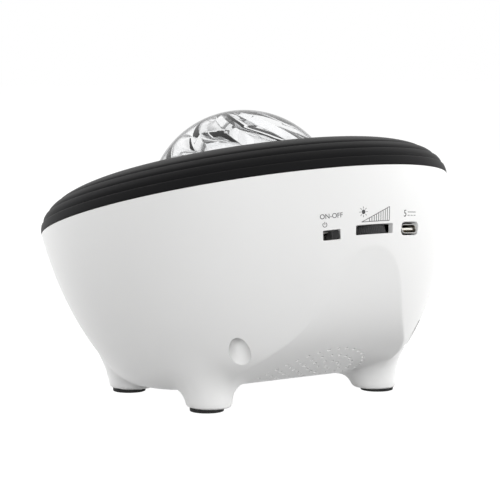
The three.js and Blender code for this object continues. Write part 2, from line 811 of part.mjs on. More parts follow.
function ledReflector() {
  const low = ledBoardTop + gap;
  return revolve([
    [reflectorFoot, low], [reflectorFoot + reflectorWall, low],
    [reflectorMouth + reflectorWall / 2, hubTop - gap], [reflectorMouth - reflectorWall / 2, hubTop - gap],
    [reflectorFoot, low],
  ], 20);
}

function heatSink() {
  const low = sinkTop - sinkBase - finHigh;
  const pitch = (2 * sinkRadius - finThick) / (sinkFins - 1);
  const slots = Array.from({ length: sinkFins - 1 }, (_, i) => {
    const x = -sinkRadius + finThick + i * pitch;
    return toSolid(block(x, x + pitch - finThick, -clearCut, clearCut, low - overrun, low + finHigh));
  });
  return cut(toSolid(rod(sinkRadius, low, sinkTop, 24)), ...slots);
}

function laserModule() {
  const top = hubTop - gap;
  const lens = retainerThick;
  return cut(
    toSolid(rod(laserRadius, top - laserLong, top, 20)),
    toSolid(rod(laserEye, top - lens, top + overrun, 12)),
  );
}

// Controls

const dialCentre = bowlRadius(dialDepth) + dialOut - dialRadius;
const dialLow = -dialDepth - dialThick / 2;
const dialHigh = -dialDepth + dialThick / 2;
const turnTo = (geometry, turn) => geometry.rotateZ(-turn);

function controlBoard() {
  const shape = new THREE.Shape();
  const corner = boardThick;
  const ease = boardBack - boardFront - dialBase;
  shape.moveTo(-boardHalf, boardFront);
  shape.lineTo(boardHalf, boardFront);
  shape.lineTo(boardHalf, boardFront + ease - corner);
  shape.lineTo(boardHalf / 2, boardBack);
  shape.lineTo(-boardHalf / 2, boardBack);
  shape.lineTo(-boardHalf, boardFront + ease - corner);
  const plate = new THREE.ExtrudeGeometry(shape, { depth: boardThick, bevelEnabled: false })
    .translate(0, 0, boardTop - boardThick);
  return cut(toSolid(plate), ...boardPlaces.map(([x, y]) => toSolid(
    rod(frameScrewRadius + gap, boardTop - boardThick - overrun, boardTop + overrun, 8)
      .translate(x, y, 0))));
}

const boardPart = boardTop + gap;
const controllerChip = () => block(0, controllerSize, boardFront + overrun,
  boardFront + overrun + controllerSize, boardPart, boardPart + chipHigh);
const bufferCapacitor = () => rod(capacitorRadius, boardPart, boardPart + capacitorHigh, 20)
  .translate(-controllerSize, boardFront + overrun + capacitorRadius, 0);

function dialWheel() {
  const shape = new THREE.Shape();
  const points = [];
  for (let i = 0; i < dialFlutes; i += 1) {
    [[0, 0], [0.5, 1]].forEach(([step, deep]) => {
      const turn = (2 * Math.PI * (i + step)) / dialFlutes;
      const r = dialRadius - deep * dialFluteDeep;
      points.push(new THREE.Vector2(r * Math.cos(turn), r * Math.sin(turn)));
    });
  }
  shape.setFromPoints(points);
  const hole = new THREE.Path();
  hole.absarc(0, 0, dialPin + gap, 0, 2 * Math.PI, true);
  shape.holes.push(hole);
  return turnTo(new THREE.ExtrudeGeometry(shape, {
    depth: dialThick, bevelEnabled: false, curveSegments: 8,
  }).translate(0, dialCentre, dialLow), -dialTurn);
}

function dialMount() {
  const low = boardTop + gap;
  return turnTo(revolve([
    [0, low], [dialBase, low], [dialBase, dialLow - gap], [dialPin, dialLow - gap],
    [dialPin, dialHigh + gap], [dialCap, dialHigh + gap],
    [dialCap, dialHigh + gap + dialCapThick], [0, dialHigh + gap + dialCapThick],
  ], 18).translate(0, dialCentre, 0), -dialTurn);
}

const switchOuter = bowlRadius(switchDepth);
const switchFace = switchOuter - wall - switchBack;
const knobTravel = switchWindow - knobWide - gap * 2;

function switchBody() {
  const half = switchBodyWide / 2;
  const [low, mid] = [boardTop + gap, -switchDepth];
  const slot = (stemSize + knobTravel) / 2 + gap;
  const deep = switchBodyDeep - gap * 2;
  return cut(
    toSolid(turnTo(block(-half, half, switchFace - switchBodyDeep, switchFace,
      low, low + switchBodyHigh), switchTurn)),
    toSolid(turnTo(block(-slot, slot, switchFace - deep, switchFace + overrun,
      mid - stemSize / 2 - gap, mid + stemSize / 2 + gap), switchTurn)),
  );
}

function switchSlider() {
  const x = -knobTravel / 2;
  const [s, w, h] = [stemSize / 2, knobWide / 2, knobHigh / 2];
  const mid = -switchDepth;
  const stemLow = switchFace - switchBodyDeep + gap * 3;
  const face = switchOuter - knobIn;
  return turnTo(toGeometry(join(
    toSolid(block(x - s, x + s, stemLow, switchFace + gap + overrun / 2, mid - s, mid + s)),
    toSolid(block(x - w, x + w, switchFace + gap, face, mid - h, mid + h)),
  )), switchTurn);
}

const usbMouth = bowlRadius(usbDepth) - usbIn;

function usbShell() {
  const corner = usbHigh / 2 - usbSheet;
  const mid = -usbDepth;
  const tube1 = cut(
    toSolid(roundedBar(usbWide, usbHigh, corner + usbSheet, usbMouth - usbLong, usbMouth)),
    toSolid(roundedBar(usbWide - usbSheet * 2, usbHigh - usbSheet * 2, corner,
      usbMouth - usbLong - overrun, usbMouth + overrun)),
  );
  const outer = usbWide / 2;
  const legs = [1, -1].flatMap((side) => usbLegShares.map((share) => [side, share]))
    .map(([side, share]) => {
      const x = side * (outer - usbSheet / 2);
      const y = usbMouth - share * usbLong;
      return toSolid(block(x - usbSheet / 2, x + usbSheet / 2, y - usbLeg / 2, y + usbLeg / 2,
        boardTop + gap + usbDepth, 0));
    });
  return turnTo(toGeometry(join(tube1, ...legs)).translate(0, 0, mid), -usbTurn);
}

function usbTongue() {
  const mid = -usbDepth;
  const back = usbMouth - usbLong;
  const insideWide = usbWide - usbSheet * 2 - gap * 2 - usbHigh / 2;
  const insideHigh = usbHigh - usbSheet * 2 - gap * 2;
  const base = usbLong - tongueLong - tongueIn;
  return turnTo(toGeometry(join(
    toSolid(block(-insideWide / 2, insideWide / 2, back, back + base, -insideHigh / 2, insideHigh / 2)),
    toSolid(block(-tongueWide / 2, tongueWide / 2, back + base / 2, back + base + tongueLong,
      -tongueHigh / 2, tongueHigh / 2)),
  )).translate(0, 0, mid), -usbTurn);
}

// Speaker

function speakerBasket() {
  const low = gap - seatDepth;
  const cupIn = coneRadius + gap;
  const vent = toSolid(block(-basketBack / 2, basketBack / 2, basketBack, cupIn + overrun,
    low + basketSheet * 3, low + basketHigh - basketSheet));
  return cut(
    toSolid(revolve([
      [0, low + basketHigh], [basketBack - basketSheet, low + basketHigh],
      [cupIn, low + basketSheet * 1.8], [cupIn, low], [speakerFlange, low],
      [speakerFlange, low + basketSheet], [cupIn + basketSheet * 1.2, low + basketSheet],
      [basketBack, low + basketHigh + basketSheet], [0, low + basketHigh + basketSheet],
    ], 20)),
    ...Array.from({ length: speakerVents }, (_, i) => toSolid(
      toGeometry(vent).rotateZ(((i + 0.5) * 2 * Math.PI) / speakerVents))),
  );
}

function speakerCone() {
  const low = gap - seatDepth + gap;
  return revolve([
    [0, low + coneHigh * 0.7], [coneNeck * 0.6, low + coneHigh * 0.8], [coneNeck, low + coneHigh],
    [coneRadius * 0.9, low + coneSheet], [coneRadius, low], [coneRadius, low + coneSheet],
    [coneRadius * 0.91, low + coneSheet * 2.2], [coneNeck, low + coneHigh + coneSheet * 1.2],
    [coneNeck * 0.6, low + coneHigh * 0.8 + coneSheet * 1.2], [0, low + coneHigh * 0.7 + coneSheet],
  ], 20);
}

function speakerMagnet() {
  const low = gap - seatDepth + basketHigh + basketSheet + gap;
  return rod(magnetRadius, low, low + magnetHigh, 24);
}

// Materials

const white = { color: 0xf2f2f0, roughness: 0.22, metalness: 0 };
const black = { color: 0x1b1b1c, roughness: 0.5, metalness: 0 };
const rubber = { color: 0x141414, roughness: 0.85, metalness: 0 };
const clear = { color: 0xf4f8fa, roughness: 0.03, metalness: 0, transparent: true, opacity: 0.3 };
const steel = { color: 0xb9bbbd, roughness: 0.3, metalness: 1 };
const brass = { color: 0xc2a259, roughness: 0.3, metalness: 1 };
const alloy = { color: 0xa9adb2, roughness: 0.4, metalness: 1 };
const ivory = { color: 0xe9e7e0, roughness: 0.5, metalness: 0 };
const board = { color: 0x1d5b3a, roughness: 0.5, metalness: 0 };
const paper = { color: 0x2a2a2b, roughness: 0.95, metalness: 0 };
const lampYellow = { color: 0xf0d984, roughness: 0.3, metalness: 0 };

// Assembly

const model = new THREE.Group();
const tiltedGroup = new THREE.Group();
tiltedGroup.rotation.x = tilt;
tiltedGroup.position.set(0, rimBack, rimHeight);
model.add(tiltedGroup);

function add(parent, name, shape, look, x = 0, y = 0) {
  const geometry = shape.isBufferGeometry ? closed(shape) : toGeometry(shape);
  geometry.computeVertexNormals();
  const mesh = new THREE.Mesh(geometry, new THREE.MeshStandardMaterial(look));
  mesh.name = name;
  mesh.position.set(x, y, 0);
  parent.add(mesh);
}

// One node for each of several equal pieces
function addEach(parent, name, shape, look, places) {
  places.forEach(([x, y], i) => add(parent, `${name}_${i + 1}`, shape, look, x, y));
}

add(model, 'bowl_shell', bowlShell(), white);
addEach(model, 'foot_pad', rod(padRadius, 0, padThick, 18), rubber, feet.map(({ x, y }) => [x, y]));
add(tiltedGroup, 'top_cover', topCover(), black);
add(tiltedGroup, 'dome_lens', domeLens(), clear);
addEach(tiltedGroup, 'case_screw', screw(screwRadius, screwHead, screwHeadThick, screwLength,
  -towerTop - towerFloor - gap), steel, wells);
add(tiltedGroup, 'lamp_frame', lampFrame(), black);
addEach(tiltedGroup, 'frame_screw', screw(frameScrewRadius, frameScrewHead, frameScrewHeadThick,
  frameScrewLength, frameTop - frameFlangeThick - gap), steel, framePlaces);

add(tiltedGroup, 'nebula_gear', carrierGear(nebulaTeeth, 0, nebulaHub), ivory, nebulaX);
add(tiltedGroup, 'ripple_disc', rippleDisc(), clear, nebulaX);
add(tiltedGroup, 'nebula_retainer', retainer(nebulaHub), steel, nebulaX);
add(tiltedGroup, 'star_gear', carrierGear(starTeeth, meshTurn(starTeeth, 0), starHub), ivory, starX);
add(tiltedGroup, 'star_grating', rod(carrierRadius(starTeeth), rimTop + gap,
  rimTop + gap + gratingThick, 28), clear, starX);
add(tiltedGroup, 'star_retainer', retainer(starHub), steel, starX);
add(tiltedGroup, 'drive_pinion', spur(pinionTeeth, meshTurn(pinionTeeth, pinionTurn),
  shaftRadius + gap, gearLow, webTop), brass, pinionX, pinionY);
add(tiltedGroup, 'motor_shaft', rod(shaftRadius, gap - cupDepth - motorLong / 2, webTop + gap, 16),
  steel, pinionX, pinionY);
add(tiltedGroup, 'gear_motor', toGeometry(gearMotor()).rotateZ(earTurn), steel, pinionX, pinionY);
addEach(tiltedGroup, 'motor_screw', screw(motorScrewRadius, motorScrewHead, motorScrewHeadThick,
  motorScrewLength, -cupDepth - gap - motorEarThick - gap), steel, earPlaces);

add(tiltedGroup, 'led_board', rod(ledBoardRadius, ledBoardTop - ledBoardThick, ledBoardTop, 24),
  alloy, nebulaX);
add(tiltedGroup, 'led_chips', ledChips(), lampYellow, nebulaX);
add(tiltedGroup, 'led_reflector', ledReflector(), white, nebulaX);
add(tiltedGroup, 'heat_sink', heatSink(), alloy, nebulaX);
add(tiltedGroup, 'laser_module', laserModule(), brass, starX);

add(tiltedGroup, 'control_board', controlBoard(), board);
add(tiltedGroup, 'controller_chip', controllerChip(), black);
add(tiltedGroup, 'buffer_capacitor', bufferCapacitor(), black);
addEach(tiltedGroup, 'board_screw', screw(frameScrewRadius, frameScrewHead, frameScrewHeadThick,
  frameScrewLength, boardTop - boardThick - gap), steel, boardPlaces);
add(tiltedGroup, 'dial_mount', dialMount(), black);
add(tiltedGroup, 'dial_wheel', dialWheel(), black);
add(tiltedGroup, 'switch_body', switchBody(), steel);
add(tiltedGroup, 'switch_slider', switchSlider(), black);
add(tiltedGroup, 'usb_shell', usbShell(), steel);
add(tiltedGroup, 'usb_tongue', usbTongue(), ivory);

add(tiltedGroup, 'speaker_basket', speakerBasket(), alloy, 0, grilleCentre);
add(tiltedGroup, 'speaker_cone', speakerCone(), paper, 0, grilleCentre);
add(tiltedGroup, 'speaker_magnet', speakerMagnet(), steel, 0, grilleCentre);
addEach(tiltedGroup, 'speaker_screw', screwDown(speakerScrewRadius, speakerScrewHead,
  speakerScrewHeadThick, speakerScrewLength, speakerHeadBase - gap), steel, speakerScrews);

export default model;
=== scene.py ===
# Galaxy projector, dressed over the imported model, for Blender 4.5
# Dictionaries hold millimetres and degrees in the bowl's own tilted frame unless they say otherwise

from math import (acos, asin, atan2, ceil, copysign, cos, dist, exp, hypot, pi, radians, sin, sqrt,
                  tan, tau)
import bmesh
import bpy
import numpy as np
from mathutils import Matrix, Vector


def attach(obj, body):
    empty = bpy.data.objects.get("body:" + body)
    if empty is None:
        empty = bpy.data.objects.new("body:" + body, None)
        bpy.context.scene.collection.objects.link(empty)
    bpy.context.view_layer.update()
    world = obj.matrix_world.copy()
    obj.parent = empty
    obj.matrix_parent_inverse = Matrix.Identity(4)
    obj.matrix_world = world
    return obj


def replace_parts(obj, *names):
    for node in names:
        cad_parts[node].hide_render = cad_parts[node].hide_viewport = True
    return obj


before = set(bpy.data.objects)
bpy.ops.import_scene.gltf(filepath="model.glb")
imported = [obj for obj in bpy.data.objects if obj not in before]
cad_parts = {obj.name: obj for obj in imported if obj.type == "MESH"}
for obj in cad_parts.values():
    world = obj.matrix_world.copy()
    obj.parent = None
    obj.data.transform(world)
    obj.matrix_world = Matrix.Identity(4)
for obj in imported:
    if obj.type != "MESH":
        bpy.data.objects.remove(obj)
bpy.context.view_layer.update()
mm = 0.001

# The rim's centre and lean, which every tilted piece shares
rim = {"radius": 75.0, "height": 67.8, "back": -0.75, "lean": 14.4}
upright = Matrix.Scale(mm, 4)
tilted = (Matrix.Translation((0, rim["back"] * mm, rim["height"] * mm))
          @ Matrix.Rotation(radians(rim["lean"]), 4, "X") @ upright)


# Meshes: a part is a list of points and a list of faces, until it becomes an object

def newObject(name, data):
    obj = bpy.data.objects.new(name, data)
    bpy.context.collection.objects.link(obj)
    return obj


# Merges the points, turns the faces outwards and smooths edges up to an angle
def finishMesh(mesh, angle=35, flip=True):
    bm = bmesh.new()
    bm.from_mesh(mesh)
    bmesh.ops.remove_doubles(bm, verts=bm.verts, dist=1e-7)
    if flip:
        bmesh.ops.recalc_face_normals(bm, faces=bm.faces)
    for face in bm.faces:
        face.smooth = True
    for edge in bm.edges:
        edge.smooth = len(edge.link_faces) == 2 and edge.calc_face_angle(0) < radians(angle)
    bm.to_mesh(mesh)
    bm.free()


def addPiece(name, part, look, body="case", place=tilted, angle=35):
    mesh = bpy.data.meshes.new(name)
    mesh.from_pydata([tuple(v) for v in part[0]], [], part[1])
    mesh.transform(place)
    finishMesh(mesh, angle)
    obj = newObject(name, mesh)
    if look:
        mesh.materials.append(looks[look])
    if body:
        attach(obj, body)
    return obj


# Revolves a line of (radius, height) points, where a point on the axis stays single
def lathe(profile, sides, closed=True, centre=(0, 0)):
    verts, rows, faces = [], [], []
    turns = [tau * i / sides for i in range(sides)]
    for r, w in profile:
        if r < 1e-6:
            rows.append([len(verts)] * sides)
            verts.append((*centre, w))
            continue
        rows.append(list(range(len(verts), len(verts) + sides)))
        verts += [(centre[0] + r * cos(t), centre[1] + r * sin(t), w) for t in turns]
    pairs = list(zip(rows, rows[1:]))
    if closed and profile[0][0] > 1e-6:
        pairs.append((rows[-1], rows[0]))
    for low, high in pairs:
        for i in range(sides):
            j = (i + 1) % sides
            face = list(dict.fromkeys((low[i], low[j], high[j], high[i])))
            if len(face) > 2:
                faces.append(face)
    return verts, faces


# Faces between rows of equally many points, with the last row joined to the first
def bandFaces(count, rows):
    starts = [k * count for k in range(rows)]
    return [[a + i, a + (i + 1) % count, b + (i + 1) % count, b + i]
            for a, b in zip(starts, starts[1:] + starts[:1]) for i in range(count)]


def joined(*parts):
    verts, faces = [], []
    for someVerts, someFaces in parts:
        base = len(verts)
        verts += list(someVerts)
        faces += [[base + k for k in face] for face in someFaces]
    return verts, faces


def prism(outline, low, high):
    count = len(outline)
    faces = [list(range(count))[::-1], list(range(count, 2 * count))]
    faces += [[i, (i + 1) % count, count + (i + 1) % count, count + i] for i in range(count)]
    return [(x, y, w) for w in (low, high) for x, y in outline], faces


def boxPart(x0, x1, y0, y1, z0, z1):
    return prism([(x0, y0), (x1, y0), (x1, y1), (x0, y1)], z0, z1)


def cylinder(radius, low, high, sides, centre):
    return lathe([(0, low), (radius, low), (radius, high), (0, high)], sides, False, centre)


def ring(inner, outer, low, high, sides, centre, bevel=0.15):
    b = bevel
    return lathe([(inner + b, low), (outer - b, low), (outer, low + b), (outer, high - b),
                  (outer - b, high), (inner + b, high), (inner, high - b), (inner, low + b)],
                 sides, True, centre)


def moved(part, matrix):
    return [tuple(matrix @ Vector(v)) for v in part[0]], part[1]


def bezier(p0, p1, p2, p3, steps):
    points = []
    for i in range(steps + 1):
        t = i / steps
        weights = ((1 - t) ** 3, 3 * t * (1 - t) ** 2, 3 * t * t * (1 - t), t ** 3)
        points.append(tuple(sum(c * p[k] for c, p in zip(weights, (p0, p1, p2, p3)))
                            for k in (0, 1)))
    return points


# Cutting tools: plain objects that are gone once they have cut

def blank(part, place=tilted):
    return addPiece("blank", part, None, body=None, place=place)


def copyOf(obj):
    return newObject(obj.name, obj.data.copy())


def applyAll(obj):
    bpy.context.view_layer.update()
    graph = bpy.context.evaluated_depsgraph_get()
    mesh = bpy.data.meshes.new_from_object(obj.evaluated_get(graph))
    obj.modifiers.clear()
    old = obj.data
    obj.data = mesh
    bpy.data.meshes.remove(old)


def cutWith(target, tool, operation="DIFFERENCE"):
    modifier = target.modifiers.new("cut", "BOOLEAN")
    modifier.operation = operation
    modifier.solver = "MANIFOLD"
    modifier.object = tool
    applyAll(target)
    bpy.data.objects.remove(tool)


# Node groups, and the nodes in them

# Each input has a plain value, or None for a vector, and each output the kind of its socket
def newGroup(name, inputs, outputs, kind="ShaderNodeTree"):
    tree = bpy.data.node_groups.new(name, kind)
    for label, value in inputs.items():
        socket = {int: "Int", float: "Float"}.get(type(value), "Vector")
        made = tree.interface.new_socket(label, in_out="INPUT", socket_type="NodeSocket" + socket)
        if value is not None:
            made.default_value = value
    for label, socket in outputs.items():
        tree.interface.new_socket(label, in_out="OUTPUT", socket_type="NodeSocket" + socket)
    source = tree.nodes.new("NodeGroupInput")
    target = tree.nodes.new("NodeGroupOutput")
    return tree, source.outputs, target.inputs


def feed(tree, socket, value):
    if isinstance(value, bpy.types.NodeSocket):
        tree.links.new(value, socket)
    else:
        socket.default_value = value


# A node with its inputs fed by name or number, from other sockets or from plain values
def addNode(tree, kind, inputs, **settings):
    node = tree.nodes.new(kind)
    for label, value in settings.items():
        setattr(node, label, value)
    for label, value in inputs.items():
        feed(tree, node.inputs[label], value)
    return node


def calc(tree, operation, *values):
    inputs = dict(enumerate(values))
    return addNode(tree, "ShaderNodeMath", inputs, operation=operation).outputs[0]


def mixColour(tree, share, first, second):
    first, second = (c if isinstance(c, bpy.types.NodeSocket) else (*c, 1) for c in (first, second))
    return addNode(tree, "ShaderNodeMix", {0: share, 6: first, 7: second},
                   data_type="RGBA").outputs[2]


def noise(tree, vector, scale, detail=2.0, rough=0.5):
    return addNode(tree, "ShaderNodeTexNoise", {
        "Vector": vector, "Scale": scale, "Detail": detail, "Roughness": rough}).outputs["Fac"]


# Fine spark-eroded grain of a moulding, as a height and a roughness
def makeGrain():
    tree, given, out = newGroup("mouldedGrain", {
        "Vector": None, "Grain Scale": 4000.0, "Patch Scale": 45.0, "Roughness": 0.4,
        "Variation": 0.05}, {"Height": "Float", "Roughness": "Float"})
    fine = noise(tree, given["Vector"], given["Grain Scale"], detail=3.0, rough=0.6)
    broad = noise(tree, given["Vector"], given["Patch Scale"], detail=3.0)
    spread = calc(tree, "MULTIPLY", calc(tree, "SUBTRACT", broad, 0.5), given["Variation"])
    tree.links.new(fine, out["Height"])
    tree.links.new(calc(tree, "ADD", given["Roughness"], spread), out["Roughness"])
    return tree


# Rubbed convex edges, as a mask
def makeWear():
    tree, given, out = newGroup("edgeWear", {
        "Vector": None, "Start": 0.55, "Width": 0.08, "Speck Scale": 900.0, "Amount": 1.0},
        {"Mask": "Float"})
    bent = addNode(tree, "ShaderNodeNewGeometry", {}).outputs["Pointiness"]
    edge = addNode(tree, "ShaderNodeMapRange", {
        "Value": bent, "From Min": given["Start"],
        "From Max": calc(tree, "ADD", given["Start"], given["Width"])}).outputs["Result"]
    specks = noise(tree, given["Vector"], given["Speck Scale"], detail=3.0)
    broken = calc(tree, "MULTIPLY", edge, specks)
    tree.links.new(calc(tree, "MULTIPLY", broken, given["Amount"]), out["Mask"])
    return tree


# Fine dust that lies on what faces up
def makeDust():
    tree, given, out = newGroup("lyingDust", {
        "Vector": None, "Fall Off": 3.0, "Speck Scale": 700.0, "Amount": 0.1}, {"Mask": "Float"})
    normal = addNode(tree, "ShaderNodeNewGeometry", {}).outputs["Normal"]
    rise = addNode(tree, "ShaderNodeSeparateXYZ", {0: normal}).outputs["Z"]
    up = calc(tree, "POWER", calc(tree, "MAXIMUM", rise, 0.0), given["Fall Off"])
    specks = noise(tree, given["Vector"], given["Speck Scale"], detail=4.0, rough=0.7)
    lying = calc(tree, "MULTIPLY", up, specks)
    tree.links.new(calc(tree, "MULTIPLY", lying, given["Amount"]), out["Mask"])
    return tree


grain, wear, dust = makeGrain(), makeWear(), makeDust()


def useGroup(tree, group, inputs):
    return addNode(tree, "ShaderNodeGroup", inputs, node_tree=group).outputs


def newLook(name, constants):
    look = bpy.data.materials.new(name)
    look.use_nodes = True
    tree = look.node_tree
    shader = tree.nodes["Principled BSDF"]
    for socket, value in constants.items():
        shader.inputs[socket].default_value = value
    return look, tree, shader, addNode(tree, "ShaderNodeTexCoord", {}).outputs["Object"]


def addGrain(tree, shader, vector, s):
    texture = useGroup(tree, grain, {"Vector": vector, "Grain Scale": s["grainScale"],
                                     "Roughness": s["roughness"], "Variation": s["variation"]})
    tree.links.new(texture["Roughness"], shader.inputs["Roughness"])
    return texture["Height"]


def addBump(tree, shader, height, distance, strength=1.0):
    bump = addNode(tree, "ShaderNodeBump", {
        "Strength": strength, "Distance": distance, "Height": height})
    tree.links.new(bump.outputs["Normal"], shader.inputs["Normal"])


# What a plastic or a metal has unless its own finish says otherwise; depths in metres
plainPlastic = {"specular": 0.5, "coat": 0.0, "coatRoughness": 0.05, "cloud": 1.03,
                "cloudScale": 28.0, "wear": 0.3, "dust": 0.05, "dustColour": (0.62, 0.6, 0.57),
                "grainScale": 4000.0, "grainDepth": 2e-6, "variation": 0.06}
# hollow is how far the painted shade in the metals' scratch hollows darkens their colour
plainMetal = {"stretch": (1.0, 1.0, 14.0), "lineScale": 900.0, "lineDepth": 1e-6, "hollow": 0.86,
              "grainScale": 2500.0, "variation": 0.12}


# A moulded plastic: colour with a faint cloud in it, grain, rubbed edges and dust
def plasticLook(name, finish):
    s = {**plainPlastic, **finish}
    look, tree, shader, vector = newLook(name, {
        "Specular IOR Level": s["specular"], "IOR": 1.5, "Coat Weight": s["coat"],
        "Coat Roughness": s["coatRoughness"]})
    pale = [min(1.0, c * s["cloud"] + 0.002) for c in s["colour"]]
    colour = mixColour(tree, noise(tree, vector, s["cloudScale"]), s["colour"], pale)
    for group, amount, second in ((wear, s["wear"], s.get("worn", pale)),
                                  (dust, s["dust"], s["dustColour"])):
        mask = useGroup(tree, group, {"Vector": vector, "Amount": amount})["Mask"]
        colour = mixColour(tree, mask, colour, second)
    tree.links.new(colour, shader.inputs["Base Color"])
    addBump(tree, shader, addGrain(tree, shader, vector, s), s["grainDepth"])
    return look


# A metal: fine scratches along one way, with painted shade darkening their hollows
def metalLook(name, finish):
    s = {**plainMetal, **finish}
    look, tree, shader, vector = newLook(name, {"Metallic": 1.0})
    drawn = addNode(tree, "ShaderNodeMapping", {"Scale": s["stretch"], "Vector": vector})
    lines = noise(tree, drawn.outputs["Vector"], s["lineScale"], detail=4.0, rough=0.65)
    # Painted shade: the colour darkens where the scratch lines' bump is low
    colour = mixColour(tree, lines, [c * s["hollow"] for c in s["colour"]], s["colour"])
    tree.links.new(colour, shader.inputs["Base Color"])
    addGrain(tree, shader, vector, s)
    addBump(tree, shader, lines, s["lineDepth"])
    return look


# Clear acrylic: faint flow marks from the moulding, and painted shade where glass is seen on edge,
# standing in for the dark surroundings bent and mirrored at its outline
def clearLook(name, s):
    look, tree, shader, vector = newLook(name, {
        "Transmission Weight": 1.0, "IOR": s["ior"], "Specular IOR Level": 0.5})
    flow = noise(tree, vector, s["flowScale"], detail=1.0)
    facing = addNode(tree, "ShaderNodeLayerWeight", {"Blend": 0.5}).outputs["Facing"]
    # Painted shade: the colour turns towards the dark edge colour where the glass is seen on edge
    edgeShade = addNode(tree, "ShaderNodeMapRange", {
        "Value": facing, "From Min": s["edgeShadeFall"][0], "From Max": s["edgeShadeFall"][1]},
        interpolation_type="SMOOTHSTEP").outputs["Result"]
    colour = mixColour(tree, edgeShade, mixColour(tree, flow, s["colour"], s["second"]), s["edge"])
    tree.links.new(colour, shader.inputs["Base Color"])
    addGrain(tree, shader, vector, s)
    addBump(tree, shader, flow, s["flowDepth"], s["flowStrength"])
    return look


plastics = {
    "glossWhiteShell": {"colour": (0.84, 0.84, 0.835), "roughness": 0.36, "coat": 0.05,
                        "specular": 0.4, "wear": 0.1, "dust": 0.03, "grainDepth": 1.2e-6,
                        "grainScale": 900.0},
    "satinBlackCover": {"colour": (0.005, 0.005, 0.0054), "cloud": 1.15, "roughness": 0.5,
                        "specular": 0.1, "wear": 0.25, "worn": (0.05, 0.05, 0.05), "dust": 0.02,
                        "grainDepth": 8e-6},
    "plainBlackPlastic": {"colour": (0.02, 0.02, 0.021), "roughness": 0.45, "specular": 0.4,
                          "wear": 0.4, "worn": (0.07, 0.07, 0.07), "grainDepth": 5e-6},
    "padRubber": {"colour": (0.022, 0.022, 0.022), "cloud": 1.4, "roughness": 0.82,
                  "specular": 0.25, "worn": (0.06, 0.06, 0.06), "grainDepth": 1.5e-5, "dust": 0.1},
    "ivoryAcetal": {"colour": (0.74, 0.72, 0.66), "roughness": 0.42, "wear": 0.2,
                    "grainDepth": 4e-6},
    "greenLaminate": {"colour": (0.012, 0.11, 0.045), "roughness": 0.35, "coat": 0.3,
                      "grainDepth": 3e-6},
    "lampPhosphor": {"colour": (0.85, 0.62, 0.14), "roughness": 0.5, "grainDepth": 6e-6},
    "pressedPaper": {"colour": (0.03, 0.03, 0.03), "cloud": 2.0, "roughness": 0.9,
                     "specular": 0.2, "grainScale": 2200.0, "grainDepth": 3e-5},
    "greyInk": {"colour": (0.07, 0.07, 0.072), "roughness": 0.5, "specular": 0.3, "wear": 0.0},
}
metals = {
    "nickelPlate": {"colour": (0.66, 0.65, 0.63), "roughness": 0.24},
    "screwSteel": {"colour": (0.48, 0.48, 0.5), "roughness": 0.32, "stretch": (1.0, 1.0, 1.0)},
    "satinAlloy": {"colour": (0.68, 0.69, 0.71), "roughness": 0.36},
    "turnedBrass": {"colour": (0.72, 0.53, 0.24), "roughness": 0.26},
    "reflectorCoat": {"colour": (0.86, 0.86, 0.87), "roughness": 0.09, "lineDepth": 2e-7},
}
clears = {
    "clearAcrylic": {"colour": (0.96, 0.965, 0.97), "second": (0.99, 0.995, 1.0),
                     # edge is the dark colour of the painted shade at the glass's outline, and the
                     # fall range says where it sets in
                     "edge": (0.02, 0.02, 0.022), "edgeShadeFall": (0.68, 0.8), "roughness": 0.012,
                     "ior": 1.49, "flowScale": 60.0, "flowDepth": 1e-5, "flowStrength": 0.3,
                     "grainScale": 3000.0, "variation": 0.01},
}
looks = {}
for makeLook, finishes in ((plasticLook, plastics), (metalLook, metals), (clearLook, clears)):
    looks.update({name: makeLook(name, finish) for name, finish in finishes.items()})
print("looks made", len(looks))


# Bowl: a revolved wall, a scoop cut into its back, and four feet blended to it

bowl = {
    "depth": 65.3, "wall": 2.2, "belly": 4.4, "headroom": 6.0, "rimGap": 0.3, "voxel": 0.82,
    "cornerRadius": 22.2, "cornerTurn": 51.5, "cornerSteps": 12,
    "sideTopTurn": 7.5, "sideEnd": 52.8, "topShare": 0.267, "lowShare": 0.423, "lipSlope": 0.13,
    "scoopTopDepth": 26.7, "scoopTopTurn": 28.4, "scoopTopHandle": 26.5,
    "scoopFoot": 19.7, "scoopFootTurn": 11.4, "scoopFootHandle": 32.3,
    "edgeBlend": 0.3, "bellyBlend": 3.5, "sideSteps": 48, "scoopSteps": 40, "coarseSteps": 16,
    "sides": 96, "beyond": 100, "middleTop": 2, "middleSides": 64, "spare": 2, "smooth": 32,
}
foot = {"places": [(38.6, 29.35), (-38.6, 29.35), (36.3, -23.05), (-36.3, -23.05)],
        "fillets": (6.5, 6.5, 4.5, 4.5), "radius": 8.1, "draft": 6.0, "lean": 0.18, "inward": 1.2,
        "lift": 0.9, "edge": 0.8, "legRound": 2.5, "soleRound": 1.5, "reach": 20.0, "shrink": 0.6,
        "sides": 40}
# Grids of distances, as a step and the corners of the bowl's and the scoop's
grids = {"step": 0.3, "bowl": ((0, -75), (90, 12)), "scoop": ((-60, -85), (95, 15))}
# How the skin is drawn onto its exact form
settle = {"rounds": 8, "exactRounds": 3, "relax": 0.5, "probe": 0.05, "leastSlope": 0.05,
          "most": 1.0, "creaseReach": 0.5, "creaseEase": 0.02, "creaseClear": 0.02}
acrossX = Matrix(((0, 0, 1, 0), (1, 0, 0, 0), (0, 1, 0, 0), (0, 0, 0, 1)))


